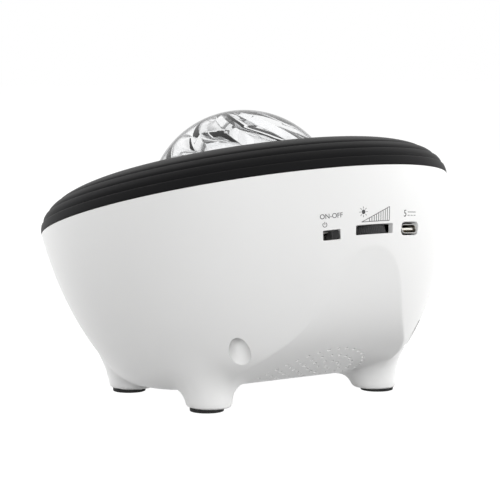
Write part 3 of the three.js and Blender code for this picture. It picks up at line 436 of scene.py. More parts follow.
# The side as a line of (radius, height) points, from the floor up to the rim
def sidePoints(steps):
    corner, turn = bowl["cornerRadius"], radians(bowl["cornerTurn"])
    flat = bowl["sideEnd"] - corner * sin(turn)
    turns = [turn * i / bowl["cornerSteps"] for i in range(bowl["cornerSteps"])]
    points = [(flat + corner * sin(t), corner * (1 - cos(t)) - bowl["depth"]) for t in turns]
    end = (bowl["sideEnd"], corner * (1 - cos(turn)) - bowl["depth"])
    top, low = bowl["topShare"] * -end[1], bowl["lowShare"] * -end[1]
    lip = radians(bowl["sideTopTurn"])
    return points + bezier(end, (end[0] + low * cos(turn), end[1] + low * sin(turn)),
                           (rim["radius"] - top * sin(lip), -top * cos(lip)),
                           (rim["radius"], 0), steps)


outerSide = sidePoints(bowl["sideSteps"])


def wallRadius(depth):
    radii, heights = zip(*outerSide)
    return float(np.interp(-depth, heights, radii))


# The scoop as a line of (back, height) points, run on straight past both ends
def scoopPoints(steps):
    apex = (wallRadius(bowl["scoopTopDepth"]), -bowl["scoopTopDepth"])
    low = (bowl["scoopFoot"], -bowl["depth"])
    out, up = (f(radians(bowl["scoopTopTurn"])) for f in (sin, cos))
    along, rise = (f(radians(bowl["scoopFootTurn"])) for f in (cos, sin))
    reach, lowHandle, topHandle = rim["radius"], bowl["scoopFootHandle"], bowl["scoopTopHandle"]
    line = bezier(low, (low[0] + lowHandle * along, low[1] + lowHandle * rise),
                  (apex[0] - topHandle * out, apex[1] - topHandle * up), apex, steps)
    return [(low[0] - reach * along, low[1] - reach * rise), *line,
            (apex[0] + reach * out, apex[1] + reach * up)]


# Signed distance to an open line on a grid, negative on the kept side
class DistanceGrid:
    def __init__(self, points, low, high, keep):
        self.low, self.step = np.array(low, float), grids["step"]
        counts = [int((h - l) / self.step) + 2 for l, h in zip(low, high)]
        axes = [self.low[k] + self.step * np.arange(counts[k]) for k in (0, 1)]
        grid = np.stack(np.meshgrid(*axes, indexing="ij"), -1).reshape(-1, 2)
        best = np.full(len(grid), 1e9)
        line = np.array(points)
        for a, b in zip(line[:-1], line[1:]):
            t = np.clip(((grid - a) @ (b - a)) / ((b - a) @ (b - a)), 0, 1)
            best = np.minimum(best, np.linalg.norm(grid - (a + t[:, None] * (b - a)), axis=1))
        self.field = np.where(keep(grid), -best, best).reshape(counts)

    def at(self, u, v):
        f = self.field
        i = np.clip((u - self.low[0]) / self.step, 0, f.shape[0] - 1.001)
        j = np.clip((v - self.low[1]) / self.step, 0, f.shape[1] - 1.001)
        i0, j0 = i.astype(int), j.astype(int)
        s, t = i - i0, j - j0
        return ((f[i0, j0] * (1 - s) + f[i0 + 1, j0] * s) * (1 - t)
                + (f[i0, j0 + 1] * (1 - s) + f[i0 + 1, j0 + 1] * s) * t)


def bowlAndScoopGrids():
    rise = bowl["headroom"] * 2
    side = [(0, -bowl["depth"]), *outerSide,
            (rim["radius"] + rise * tan(radians(bowl["sideTopTurn"])), rise)]
    radii, heights = [p[0] for p in side], [p[1] for p in side]
    heights[0] -= 1e-3                                           # so that the heights rise
    line = scoopPoints(bowl["scoopSteps"])
    return (DistanceGrid(side, *grids["bowl"], lambda g: (g[:, 1] > -bowl["depth"])
                         & (g[:, 0] < np.interp(g[:, 1], heights, radii))),
            DistanceGrid(line, *grids["scoop"],
                         lambda g: g[:, 1] > np.interp(g[:, 0], *zip(*line))))


def softMax(a, b, k):
    h = np.maximum(k - np.abs(a - b), 0) / k
    return np.maximum(a, b) + h * h * k / 4


def softMin(a, b, k):
    return -softMax(-a, -b, k)


bowlGrid, scoopGrid = bowlAndScoopGrids()
tableToTilt = tilted.inverted() @ upright


# Distances of points over the table, in millimetres, from the plain bowl and from the scoop
def bowlAndScoop(points):
    turned, offset = np.array(tableToTilt.to_3x3()), np.array(tableToTilt.to_translation())
    local = points @ turned.T + offset
    return np.stack((bowlGrid.at(np.hypot(local[:, 0], local[:, 1]), local[:, 2]),
                     scoopGrid.at(local[:, 1], local[:, 2])), 1)


# Distance of such points from the whole outer skin
def skinDistance(points):
    x, y, z = points.T
    body = softMax(*bowlAndScoop(points).T, bowl["edgeBlend"])
    body = softMax(body, bowl["belly"] - z, bowl["bellyBlend"])
    slope = radians(foot["draft"])
    for (footX, footY), fillet in zip(foot["places"], foot["fillets"]):
        flat = np.hypot(x - footX + copysign(foot["inward"], footX),
                        y - footY + foot["lean"] * (z - foot["lift"]))
        height = z - foot["lift"] - foot["edge"]
        side = (flat - foot["radius"] - height * tan(slope)) * cos(slope)
        leg = softMax(side, foot["lift"] - z, foot["edge"] * foot["legRound"])
        body = softMin(body, np.maximum(leg, z - foot["reach"]), fillet)
    return softMax(body, foot["lift"] - z, foot["edge"] * foot["soleRound"])


# How fast a distance changes along each axis, by small steps to both sides
def slopesOf(distance, points):
    probe = settle["probe"]
    return np.stack([distance(points + probe * axis) - distance(points - probe * axis)
                     for axis in np.eye(3)], -1) / (2 * probe)


# Brings the points beside the scoop's edge onto it, so that the edge runs clean
def snapToCrease(points):
    bases, slopes = bowlAndScoop(points), slopesOf(bowlAndScoop, points)
    turned = slopes.transpose(0, 2, 1)
    square = slopes @ turned + settle["creaseEase"] * np.eye(2)
    move = -(turned @ np.linalg.solve(square, bases[:, :, None]))[:, :, 0]
    gap = np.abs(skinDistance(points) - softMax(*bases.T, bowl["edgeBlend"]))
    near = (gap < settle["creaseClear"]) & (np.linalg.norm(move, axis=1) < settle["creaseReach"])
    points[near] += move[near]
    return points


def settleOnSkin(obj):
    mesh = obj.data
    points, edges = np.empty(len(mesh.vertices) * 3), np.empty(len(mesh.edges) * 2, int)
    mesh.vertices.foreach_get("co", points)
    mesh.edges.foreach_get("vertices", edges)
    points = points.reshape(-1, 3)
    a, b = edges.reshape(-1, 2).T
    degree = np.bincount(edges, minlength=len(points))[:, None]
    relax, most = settle["relax"], settle["most"]
    for i in range(settle["rounds"]):
        if i < settle["rounds"] - settle["exactRounds"]:
            total = np.zeros_like(points)
            np.add.at(total, a, points[b])
            np.add.at(total, b, points[a])
            points = points * (1 - relax) + total / degree * relax
        slope = slopesOf(skinDistance, points)
        square = np.maximum((slope ** 2).sum(1, keepdims=True), settle["leastSlope"])
        points = points - np.clip(skinDistance(points)[:, None] * slope / square, -most, most)
    mesh.vertices.foreach_set("co", snapToCrease(points).ravel())
    mesh.update()


def insetLine(points, inset):
    line = np.array(points)
    ahead = np.vstack((line[1:], line[-1:])) - np.vstack((line[:1], line[:-1]))
    ahead /= np.linalg.norm(ahead, axis=1, keepdims=True)
    return [tuple(p) for p in line + inset * np.stack((-ahead[:, 1], ahead[:, 0]), 1)]


# The bowl's plain body, set in by a wall and closed at a height, scooped and cut flat below
def bowlBody(inset, top, sides=bowl["sides"]):
    side = [(max(r, 0), w) for r, w in insetLine(sidePoints(bowl["coarseSteps"]), inset)]
    side[0] = (side[0][0], -bowl["depth"] + inset)
    lid = [(side[-1][0] + top * bowl["lipSlope"], top), (0, top)]
    body = blank(lathe([(0, side[0][1]), *side, *lid], sides, False))
    line, far = insetLine(scoopPoints(bowl["coarseSteps"]), inset), bowl["beyond"]
    under = -rim["radius"] * 2
    outline = [*line, (-under, under), (line[0][0], under)]
    cutWith(body, blank(moved(prism(outline, -far, far), acrossX)))
    cutWith(body, blank(boxPart(-far, far, -far, far, -far / 2, bowl["belly"] + inset), upright))
    return body


def footBlank(x, y):
    x -= copysign(foot["inward"], x)
    low, top = foot["lift"], foot["lift"] + foot["reach"]
    verts, faces = lathe([(0, low), (foot["radius"] - foot["shrink"], low),
                          (foot["radius"] + foot["reach"] * tan(radians(foot["draft"])), top),
                          (0, top)], foot["sides"], False, (x, y))
    return blank(([(a, b - foot["lean"] * (c - low), c) for a, b, c in verts], faces), upright)


# Coarse solids joined, remeshed in millimetres, drawn onto the exact form and cut at the rim
def makeSkin():
    skin = bowlBody(0, bowl["headroom"])
    for place in foot["places"]:
        cutWith(skin, footBlank(*place), "UNION")
    skin.data.transform(Matrix.Scale(1 / mm, 4))
    remesh = skin.modifiers.new("remesh", "REMESH")
    remesh.mode = "VOXEL"
    remesh.voxel_size = bowl["voxel"]
    applyAll(skin)
    settleOnSkin(skin)
    skin.data.transform(Matrix.Scale(mm, 4))
    bm = bmesh.new()
    bm.from_mesh(skin.data)
    cut = bmesh.ops.bisect_plane(bm, geom=bm.verts[:] + bm.edges[:] + bm.faces[:], dist=1e-7,
                                 plane_co=tilted @ Vector((0, 0, -bowl["rimGap"])),
                                 plane_no=(tilted.to_3x3() @ Vector((0, 0, 1))).normalized(),
                                 clear_outer=True)
    edges = [e for e in cut["geom_cut"] if isinstance(e, bmesh.types.BMEdge)]
    bmesh.ops.contextual_create(bm, geom=edges)
    bmesh.ops.triangulate(bm, faces=[f for f in bm.faces if len(f.verts) > 4])
    bmesh.ops.recalc_face_normals(bm, faces=bm.faces)
    bm.to_mesh(skin.data)
    bm.free()
    return skin


# What is cut into the bowl, and what stands inside it
windows = {
    "dial": {"wide": 16.4, "high": 3.25, "corner": 0.4, "turn": -0.57, "depth": 21.55},
    "switch": {"wide": 6.5, "high": 3.3, "corner": 0.3, "turn": 13.7, "depth": 22.3},
    "socket": {"wide": 10.3, "high": 4.5, "corner": 1.8, "turn": -15.05, "depth": 21.8},
}
windowReach = {"in": 20, "out": 5}
well = {"places": [(38.625, 36.825), (-38.625, 36.825)], "radius": 3.65, "wall": 1.6, "top": 42.0,
        "floor": 2.2, "sides": 40, "fineSides": 48, "low": -80, "under": -90, "frontHeight": 2.5,
        "hole": 1.7, "holeUp": 2, "holeDown": 5, "holeSides": 20}
frontWell = tilted.inverted() @ Vector([c * mm for c in (*foot["places"][2], well["frontHeight"])])
well["places"] += [(frontWell.x, frontWell.y), (-frontWell.x, frontWell.y)]
seat = {"centre": 19.7, "inner": 23.2, "outer": 25.4, "height": 52.0, "low": -75, "sides": 64,
        "bosses": 3, "bossRadius": 2.7, "bossReach": 27.5, "bossUp": 1.3, "bossSides": 24}
grille = {"rings": 5, "step": 7.0, "pitch": 4.4, "radius": 0.66, "low": -67.0, "high": -54.0,
          "sides": 14}
pad = {"radius": 6.0, "thick": 1.6, "edge": 0.35, "bevel": 0.1, "ring": (0.55, 0.6), "sides": 72,
       "gap": 0.3, "recessLow": -5, "recessSides": 64}


def roundedOutline(wide, high, corner, steps=8):
    points = []
    for k, (sx, sz) in enumerate(((1, -1), (1, 1), (-1, 1), (-1, -1))):
        centre = (sx * (wide / 2 - corner), sz * (high / 2 - corner))
        for i in range(steps + 1):
            t = pi / 2 * (k - 1 + i / steps)
            points.append((centre[0] + corner * cos(t), centre[1] + corner * sin(t)))
    return points


# Turns what is drawn at the back wall to a window's place round the axis
def atWindow(name):
    return (Matrix.Rotation(-radians(windows[name]["turn"]), 4, "Z")
            @ Matrix.Translation((0, 0, -windows[name]["depth"])))


# Stands a prism's outline up against the wall
standing = Matrix(((1, 0, 0, 0), (0, 0, 1, 0), (0, 1, 0, 0), (0, 0, 0, 1)))


def windowTool(name):
    spec = windows[name]
    bar = prism(roundedOutline(spec["wide"], spec["high"], spec["corner"]),
                rim["radius"] - windowReach["in"], rim["radius"] + windowReach["out"])
    return blank(moved(bar, atWindow(name) @ standing))


# Runs a tree on an empty mesh and returns the result as a plain mesh in its place
def fromTree(name, tree, values, local, place=tilted):
    obj = newObject(name, bpy.data.meshes.new(name))
    modifier = obj.modifiers.new("make", "NODES")
    modifier.node_group = tree
    for item in tree.interface.items_tree:
        if item.item_type == "SOCKET" and item.in_out == "INPUT" and item.name in values:
            modifier[item.identifier] = values[item.name]
    applyAll(obj)
    obj.data.transform(place @ local)
    return obj


# Rings of holes as a node tree: point 0 is the middle, and ring n has n steps of holes, so each
# point finds its ring from its number by a square root
def grilleTool():
    values = {"Rings": grille["rings"], "Step": grille["step"], "Pitch": grille["pitch"],
              "Radius": grille["radius"], "Length": grille["high"] - grille["low"]}
    tree, given, out = newGroup("grilleHoles", values, {"Geometry": "Geometry"},
                                "GeometryNodeTree")

    def times(*values):
        return calc(tree, "MULTIPLY", *values)

    number = addNode(tree, "GeometryNodeInputIndex", {}).outputs[0]
    item = calc(tree, "SUBTRACT", number, 1.0)
    square = calc(tree, "ADD", 1.0, calc(tree, "DIVIDE", times(item, 8.0), given["Step"]))
    root = calc(tree, "SQRT", calc(tree, "MAXIMUM", square, 0.0))
    ringNumber = calc(tree, "FLOOR", calc(tree, "DIVIDE", calc(tree, "ADD", 1.0001, root), 2.0))
    ringNumber = times(ringNumber, calc(tree, "GREATER_THAN", number, 0.5))
    before = times(times(ringNumber, calc(tree, "SUBTRACT", ringNumber, 1.0)),
                   calc(tree, "DIVIDE", given["Step"], 2.0))
    inRing = calc(tree, "MAXIMUM", times(given["Step"], ringNumber), 1.0)
    turn = times(calc(tree, "DIVIDE", calc(tree, "SUBTRACT", item, before), inRing), tau)
    reach = times(ringNumber, given["Pitch"])
    place = addNode(tree, "ShaderNodeCombineXYZ", {"X": times(reach, calc(tree, "SINE", turn)),
                                                   "Y": times(reach, calc(tree, "COSINE", turn))})
    pairs = times(given["Rings"], calc(tree, "ADD", given["Rings"], 1.0))
    holes = calc(tree, "MULTIPLY_ADD", times(pairs, given["Step"]), 0.5, 1.0)
    points = addNode(tree, "GeometryNodePoints", {"Count": holes, "Position": place.outputs[0]})
    drill = addNode(tree, "GeometryNodeMeshCylinder", {
        "Vertices": grille["sides"], "Radius": given["Radius"], "Depth": given["Length"]})
    copies = addNode(tree, "GeometryNodeInstanceOnPoints", {
        "Points": points.outputs[0], "Instance": drill.outputs["Mesh"]})
    real = addNode(tree, "GeometryNodeRealizeInstances", {0: copies.outputs[0]})
    coat = addNode(tree, "GeometryNodeSetMaterial", {
        0: real.outputs[0], "Material": looks["glossWhiteShell"]})
    tree.links.new(coat.outputs[0], out["Geometry"])
    return fromTree("grilleTool", tree, values, Matrix.Translation(
        (0, seat["centre"], (grille["low"] + grille["high"]) / 2)))


def makeBowl():
    skin = makeSkin()
    print("bowl skin", len(skin.data.vertices))
    middle = bowlBody(bowl["wall"] / 2, bowl["middleTop"], bowl["middleSides"])
    inner = [blank(ring(seat["inner"], seat["outer"], seat["low"], -seat["height"], seat["sides"],
                        (0, seat["centre"])))]
    for k in range(seat["bosses"]):
        t = pi + k * tau / seat["bosses"]
        place = (seat["bossReach"] * sin(t), seat["centre"] + seat["bossReach"] * cos(t))
        inner.append(blank(cylinder(seat["bossRadius"], seat["low"],
                                    seat["bossUp"] - seat["height"], seat["bossSides"], place)))
    inner += [blank(cylinder(well["radius"] + well["wall"], well["low"], -well["top"],
                             well["sides"], p)) for p in well["places"]]
    cutWith(skin, bowlBody(bowl["wall"], bowl["headroom"] + bowl["spare"]))
    for part in inner:
        cutWith(part, copyOf(middle), "INTERSECT")
        cutWith(skin, part, "UNION")
    bpy.data.objects.remove(middle)
    for p in well["places"]:
        cutWith(skin, blank(cylinder(well["radius"], well["under"], -well["top"] - well["floor"],
                                     well["fineSides"], p)))
        cutWith(skin, blank(cylinder(well["hole"], -well["top"] - well["holeDown"],
                                     well["holeUp"] - well["top"], well["holeSides"], p)))
    for place in foot["places"]:
        cutWith(skin, blank(cylinder(pad["radius"] + pad["gap"], pad["recessLow"],
                                     pad["thick"] + pad["gap"], pad["recessSides"], place),
                            upright))
    for name in windows:
        cutWith(skin, windowTool(name))
    cutWith(skin, grilleTool())
    skin.name = skin.data.name = "bowlSkin"
    finishMesh(skin.data, bowl["smooth"], flip=False)
    skin.data.materials.clear()
    skin.data.materials.append(looks["glossWhiteShell"])
    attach(skin, "case")
    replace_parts(skin, "bowl_shell")
    print("bowl", len(skin.data.polygons))


makeBowl()


# Top cover: four stepped lands up to the crest, then a dish down to the dome

cover = {"height": 13.9, "crest": 51.7, "wall": 2.0, "edges": (0.15, 0.305, 0.467), "step": 0.8,
         "swell": 1.0, "swellPower": 1.5, "shoulder": 0.45, "landSteps": 20, "topSteps": 40,
         "deckHeight": 8.0, "deckRadius": 41.0, "deckHole": 35.3, "holeRound": 0.2, "dishSteps": 24,
         "innerSteps": 16, "lipDepth": 3.0, "lipThick": 1.5, "fit": 0.3,
         "posts": 3.8, "postUp": 0.6, "postSides": 32, "sides": 288}


def coverPoint(share, inset=0.0):
    turn = share * pi / 2
    return (cover["crest"] + (rim["radius"] - cover["crest"] - inset) * cos(turn),
            (cover["height"] - inset) * sin(turn))


# Each land swells out of the groove below it and ends in a rounded shoulder
def landPoints(low, high):
    length = dist(coverPoint(low), coverPoint(high))
    count = cover["landSteps"] if high < 1 else cover["topSteps"]
    points, shoulder = [], cover["shoulder"]
    for i in range(count + 1):
        share = (1 - cos(pi * i / count)) / 2
        up, left = share * length, (1 - share) * length
        swell = (up / cover["swell"]) ** cover["swellPower"]
        back = cover["step"] * exp(-swell) if low else 0.0
        if high < 1 and left < shoulder:
            back += shoulder * (1 - sqrt(max(0, 1 - (1 - left / shoulder) ** 2)))
        points.append(coverPoint(low + (high - low) * share, back))
    return points


def coverProfile():
    edges = [0.0, *cover["edges"], 1.0]
    outer = [p for low, high in zip(edges, edges[1:]) for p in landPoints(low, high)]
    deck, hole, wall, fit = cover["deckHeight"], cover["deckHole"], cover["wall"], cover["fit"]
    drop = (cover["height"] - deck) / 2
    shares = [i / cover["dishSteps"] for i in range(1, cover["dishSteps"] + 1)]
    dish = [(cover["crest"] + (cover["deckRadius"] - cover["crest"]) * share,
             deck + drop + drop * cos(pi * share)) for share in shares]
    under = [(r, w - wall) for r, w in reversed(dish)]
    inner = [coverPoint(1 - i / cover["innerSteps"], wall) for i in range(cover["innerSteps"])]
    lip = wallRadius(cover["lipDepth"]) - bowl["wall"] - fit
    lipInner, low = lip - cover["lipThick"], -cover["lipDepth"]
    return [*outer, *dish, (hole + cover["holeRound"], deck), (hole, deck - cover["holeRound"]),
            (hole, deck - wall), *under, *inner, (lipInner, 0), (lipInner, low), (lip, low),
            (lip, 0), (rim["radius"] - fit, 0)]


def makeCover():
    top = cover["height"] - cover["wall"] + cover["postUp"]
    posts = [cylinder(cover["posts"], cover["fit"] - well["top"], top, cover["postSides"], p)
             for p in well["places"]]
    piece = addPiece("coverRing", joined(lathe(coverProfile(), cover["sides"]), *posts),
                     "satinBlackCover", angle=30)
    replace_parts(piece, "top_cover")


makeCover()
print("cover made")


# Dome: smooth outside, and inside a swirl of blades, each thickening round to a sharp drop

dome = {"radius": 35.4, "wall": 3.0, "flange": 39.0, "flangeTop": 5.7, "flangeThick": 2.3,
        "lobes": 10, "phase": -13.0, "sweep": 75.0, "depth": 2.2, "drop": 0.3, "perLobe": 36,
        "up": 72, "slack": 0.05, "flangeClear": 1, "growFrom": 22.0, "growTo": 50.0,
        "least": 0.1, "fadeHeight": 3.0}


def domeProfile(inner, low):
    def arc(radius, height, steps):
        start = asin(height / radius)
        turns = [start + (pi / 2 - start) * i / dome["up"] for i in steps]
        return [(radius * cos(t), radius * sin(t)) for t in turns]

    top = dome["flangeTop"]
    profile = [(dome["flange"], low), (dome["flange"], top),
               *arc(dome["radius"], top, range(dome["up"] + 1)),
               *arc(inner, low, range(dome["up"], -1, -1))]
    return [(0.0 if r < 1e-6 else r, w) for r, w in profile]


# The inner points move inwards by the blade's thickness there, and turn as they rise
def domePart():
    inner, low = dome["radius"] - dome["wall"], dome["flangeTop"] - dome["flangeThick"]
    verts, faces = lathe(domeProfile(inner, low), dome["lobes"] * dome["perLobe"])
    points = np.array(verts)
    flat = np.hypot(points[:, 0], points[:, 1])
    rise, turn = np.arctan2(points[:, 2], flat), np.arctan2(points[:, 1], points[:, 0])
    isInner = ((np.linalg.norm(points, axis=1) < inner + dome["slack"])
               & (flat < dome["flange"] - dome["flangeClear"]))
    across = np.mod(turn * dome["lobes"] / tau + 1e-6, 1.0)
    blade = np.minimum(across / (1 - dome["drop"]), (1 - across) / dome["drop"])
    start, full = radians(dome["growFrom"]), radians(dome["growTo"])
    grow = np.clip((rise - start) / (full - start), 0, 1)
    fade = (np.clip((points[:, 2] - low) / dome["fadeHeight"], 0, 1)
            * (dome["least"] + (1 - dome["least"]) * grow)
            * np.clip(np.cos(rise) / cos(full), 0, 1))
    scale = np.where(isInner, 1 - dome["depth"] * fade * blade / inner, 1.0)
    innerStart = asin(low / inner)
    share = np.clip((rise - innerStart) / (pi / 2 - innerStart), 0, 1)
    turned = turn - share * radians(dome["sweep"]) + radians(dome["phase"])
    for k, f in enumerate((np.cos, np.sin)):
        points[:, k] = np.where(isInner, flat * f(turned), points[:, k])
    return points * scale[:, None], faces


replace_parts(addPiece("domeShell", domePart(), "clearAcrylic", angle=40),
            "dome_lens")
print("dome made")


# Gear train and lamp under the dome

train = {"module": 0.75, "addendum": 0.75, "dedendum": 1.1, "backlash": 0.3, "pressure": 20.0,
         "low": -9.2, "web": -4.9, "rimTop": -3.2, "rimThick": 0.8, "rimStep": 0.2,
         "hubThick": 0.7, "chamfer": 0.15, "flank": 4, "groove": 0.35}
wheels = {
    "nebula_gear": {"teeth": 48, "first": 0.0, "bore": 12.9, "body": "nebula_rotor",
                    "centre": (-9.5, 0)},
    "star_gear": {"teeth": 20, "first": 3.29867, "bore": 4.8, "body": "star_rotor",
                  "centre": (16.0, 0)},
    "drive_pinion": {"teeth": 12, "first": 8.63938, "bore": 1.3, "body": "motor_rotor",
                     "centre": (1.75, 19.486)},
}
overLamp, overLaser = wheels["nebula_gear"]["centre"], wheels["star_gear"]["centre"]
ripple = {"radius": 17.175, "low": -2.9, "thick": 1.35, "side": 1.1, "chamfer": 0.15,
          "edge": 0.01, "waved": 1.2, "wave": 0.22, "waves": 6, "wander": 0.9,
          "swirls": ((1.0, 5, 0.35), (0.6, 9, -0.5)), "calmMiddle": 3.0, "calmEdge": 1.5,
          "up": 60, "sides": 180}
grating = {"sides": 120, "profile": [(0, -2.9), (6.52, -2.9), (6.675, -2.75), (6.675, -2.15),
                                     (6.52, -2.0), (5.9, -2.0), (5.75, -2.15), (0, -2.15)]}
retainers = {"inside": 0.3, "outside": 1.0, "low": -4.6, "top": -3.7, "bevel": 0.12, "sides": 96,
             "hubs": {"nebula_retainer": (12.6, overLamp), "star_retainer": (4.5, overLaser)}}
reflector = {"inner": 6.2, "outer": 7.1, "flare": 3.25, "low": -12.0, "high": 8.0, "steps": 12,
             "lip": [(9.57, -3.95), (9.45, -4.0)], "sides": 96}


def toothOutline(teeth, first):
    unit, pitch = train["module"], teeth * train["module"] / 2
    base = pitch * cos(radians(train["pressure"]))
    root, tip = pitch - train["dedendum"] * unit, pitch + train["addendum"] * unit

    def involute(r):
        a = acos(min(1, base / r))
        return tan(a) - a

    half = (pi / 2 - train["backlash"] / (2 * unit)) / teeth
    steps = [root + (tip - root) * k / train["flank"] for k in range(train["flank"] + 1)]
    flank = [(r, half + involute(pitch) - involute(max(r, base))) for r in steps]
    points = []
    for i in range(teeth):
        centre = first + tau * i / teeth
        points += [(r, centre - t) for r, t in flank] + [(r, centre + t) for r, t in flank[::-1]]
    return points, root


# Rows of an inset from the tooth outline, or a radius of their own, and a height. A carrier has
# a rim that holds its disc, and a round groove in its web where there is room
def gearPart(spec, carrier):
    outline, root = toothOutline(spec["teeth"], spec["first"])
    low, web, c, bore = train["low"], train["web"], train["chamfer"], spec["bore"]
    rows = [(c, None, low), (0, None, low + c), (0, None, web - c), (c, None, web)]
    if carrier:
        outer, inner = root - train["rimStep"], root - train["rimThick"]
        top, hub, g = train["rimTop"], bore + train["hubThick"], train["groove"]
        rows += [(0, outer, web), (0, outer, top - c), (0, outer - c, top), (0, inner + c, top),
                 (0, inner, top - c), (0, inner, web)]
        mid, reach = (inner + hub) / 2, (inner - hub) / 4
        if reach > g:
            rows += [(0, mid + reach, web), (0, mid + reach - g, web - g),
                     (0, mid - reach + g, web - g), (0, mid - reach, web)]
    rows += [(0, bore + c, web), (0, bore, web - c), (0, bore, low + c), (0, bore + c, low)]
    x, y = spec["centre"]
    verts = [(x + flat * cos(t), y + flat * sin(t), w) for inset, fixed, w in rows
             for flat, t in ((fixed or r - inset, t) for r, t in outline)]
    return verts, bandFaces(len(outline), len(rows))


def ripplePart():
    radius, low, top = ripple["radius"], ripple["low"], ripple["low"] + ripple["thick"]
    c, edge, up = ripple["chamfer"], ripple["edge"], ripple["up"]
    profile = [(0, low), (radius - c, low), (radius, low + c), (radius, low + ripple["side"])]
    profile += [(radius * (1 - edge - (1 - edge) * k / up), top) for k in range(up)]
    verts, faces = lathe(profile + [(0, top)], ripple["sides"], False)
    shaped = []
    for x, y, w in verts:
        if w > low + ripple["waved"]:
            r, t = hypot(x, y), atan2(y, x)
            wander = sum(size * sin(count * t + drift * r)
                         for size, count, drift in ripple["swirls"])
            fade = min(1.0, r / ripple["calmMiddle"]) * min(1.0, (radius - r) / ripple["calmEdge"])
            w += ripple["wave"] * fade * cos(
                ripple["waves"] * pi * (1 - r / radius) + ripple["wander"] * wander)
        shaped.append((x + overLamp[0], y, w))
    return shaped, faces


def cupProfile():
    def side(radius, steps):
        return [(radius + reflector["flare"] * sin(pi / 2 * k / reflector["steps"]),
                 reflector["low"] + reflector["high"] * k / reflector["steps"]) for k in steps]

    last = reflector["steps"]
    return [(reflector["inner"], reflector["low"]), *side(reflector["outer"], range(last + 1)),
            *reflector["lip"], *side(reflector["inner"], range(last - 1, 0, -1))]


def makeTrain():
    for name, spec in wheels.items():
        carrier = name != "drive_pinion"
        piece = addPiece(name.replace("_", "") + "Fine", gearPart(spec, carrier),
                         "ivoryAcetal" if carrier else "turnedBrass", body=spec["body"],
                         angle=25)
        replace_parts(piece, name)
    disc = addPiece("rippledDisc", ripplePart(), "clearAcrylic", "nebula_rotor",
                    angle=40)
    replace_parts(disc, "ripple_disc")
    plate = lathe(grating["profile"], grating["sides"], False, overLaser)
    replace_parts(addPiece("gratingPlate", plate, "clearAcrylic", "star_rotor"),
                "star_grating")
    for name, (hub, centre) in retainers["hubs"].items():
        part = ring(hub - retainers["inside"], hub + retainers["outside"], retainers["low"],
                    retainers["top"], retainers["sides"], centre, retainers["bevel"])
        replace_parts(addPiece(name.replace("_", "") + "Fine", part, "screwSteel"),
                    name)
    cup = lathe(cupProfile(), reflector["sides"], True, overLamp)
    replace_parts(addPiece("reflectorCup", cup, "reflectorCoat"), "led_reflector")


makeTrain()
print("gear train made")


# Feet pads: rounded lower edge, a shallow ring in the face

def makePads():
    r, t, e, b = pad["radius"], pad["thick"], pad["edge"], pad["bevel"]
    profile = [(0, e), (r * pad["ring"][0], e), (r * pad["ring"][1], 0.0), (r - e, 0.0),
               (r - b, b), (r, e), (r, t - b), (r - b, t), (0, t)]
    for k, place in enumerate(foot["places"]):
        disc = lathe(profile, pad["sides"], False, place)
        piece = addPiece(f"padDisc{k + 1}", disc, "padRubber", place=upright)
        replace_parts(piece, f"foot_pad_{k + 1}")


makePads()
print("pads made")


# Controls, each at its window

dial = {"radius": 8.8, "thick": 2.8, "out": 0.4, "flutes": 72, "perFlute": 4, "flute": 0.22,
        "round": 0.6, "axle": 1.9, "rim": ((0.0, 0.5), (0.12, 0.12), (0.3, 0.0))}


def makeDial():
    r, half = dial["radius"], dial["thick"] / 2
    turns = [tau * i / (dial["flutes"] * dial["perFlute"])
             for i in range(dial["flutes"] * dial["perFlute"])]
    cuts = [dial["flute"] * (1 - (0.5 + 0.5 * cos(t * dial["flutes"])) ** dial["round"])
            for t in turns]
    rows = [(w - half, inset) for w, inset in dial["rim"]]
    rows += [(half - w, inset) for w, inset in dial["rim"][::-1]]
    verts = [((r - inset - cut) * cos(t), (r - inset - cut) * sin(t), w)
             for w, inset in rows for t, cut in zip(turns, cuts)]
    verts += [(dial["axle"] * cos(t), dial["axle"] * sin(t), w) for w in (half, -half)
              for t in turns]
    centre = wallRadius(windows["dial"]["depth"]) + dial["out"] - r
    place = atWindow("dial") @ Matrix.Translation((0, centre, 0))
    piece = addPiece("thumbwheel", moved((verts, bandFaces(len(turns), len(rows) + 2)), place),
                     "plainBlackPlastic", "dial", angle=50)
    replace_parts(piece, "dial_wheel")


switch = {"wide": 2.9, "high": 2.7, "in": 0.2, "spare": 0.6, "body": 1.4, "stem": 1.6,
          "stemIn": 3.1, "stemOut": 0.9, "plate": 0.3, "bevel": 0.15, "ribs": 5,
          "ribsIn": 0.35, "ribDeep": 0.2, "ribSlope": 0.05}


# A knob with grip ribs across it, on a stem, at one end of its travel
def makeSwitch():
    outer = wallRadius(windows["switch"]["depth"])
    face, front = outer - bowl["wall"] - switch["body"], outer - switch["in"]
    x = -(windows["switch"]["wide"] - switch["wide"] - switch["spare"]) / 2
    s, w, h, b = switch["stem"] / 2, switch["wide"] / 2, switch["high"] / 2, switch["bevel"]
    back = face + switch["plate"]
    outline = [(x - w, back), (x + w, back), (x + w, front - b), (x + w - b, front)]
    pitch, slope = 2 * (w - switch["ribsIn"]) / switch["ribs"], switch["ribSlope"]
    for k in range(switch["ribs"]):
        left = x + w - switch["ribsIn"] - k * pitch
        right, deep = left - pitch / 2, front - switch["ribDeep"]
        outline += [(left, front), (left - slope, deep), (right + slope, deep), (right, front)]
    outline += [(x - w + b, front), (x - w, front - b)]
    knob = joined(boxPart(x - s, x + s, face - switch["stemIn"], face + switch["stemOut"], -s, s),
                  prism(outline, -h, h))
    piece = addPiece("switchKnob", moved(knob, atWindow("switch")), "plainBlackPlastic",
                     "power_slider")
    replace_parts(piece, "switch_slider")


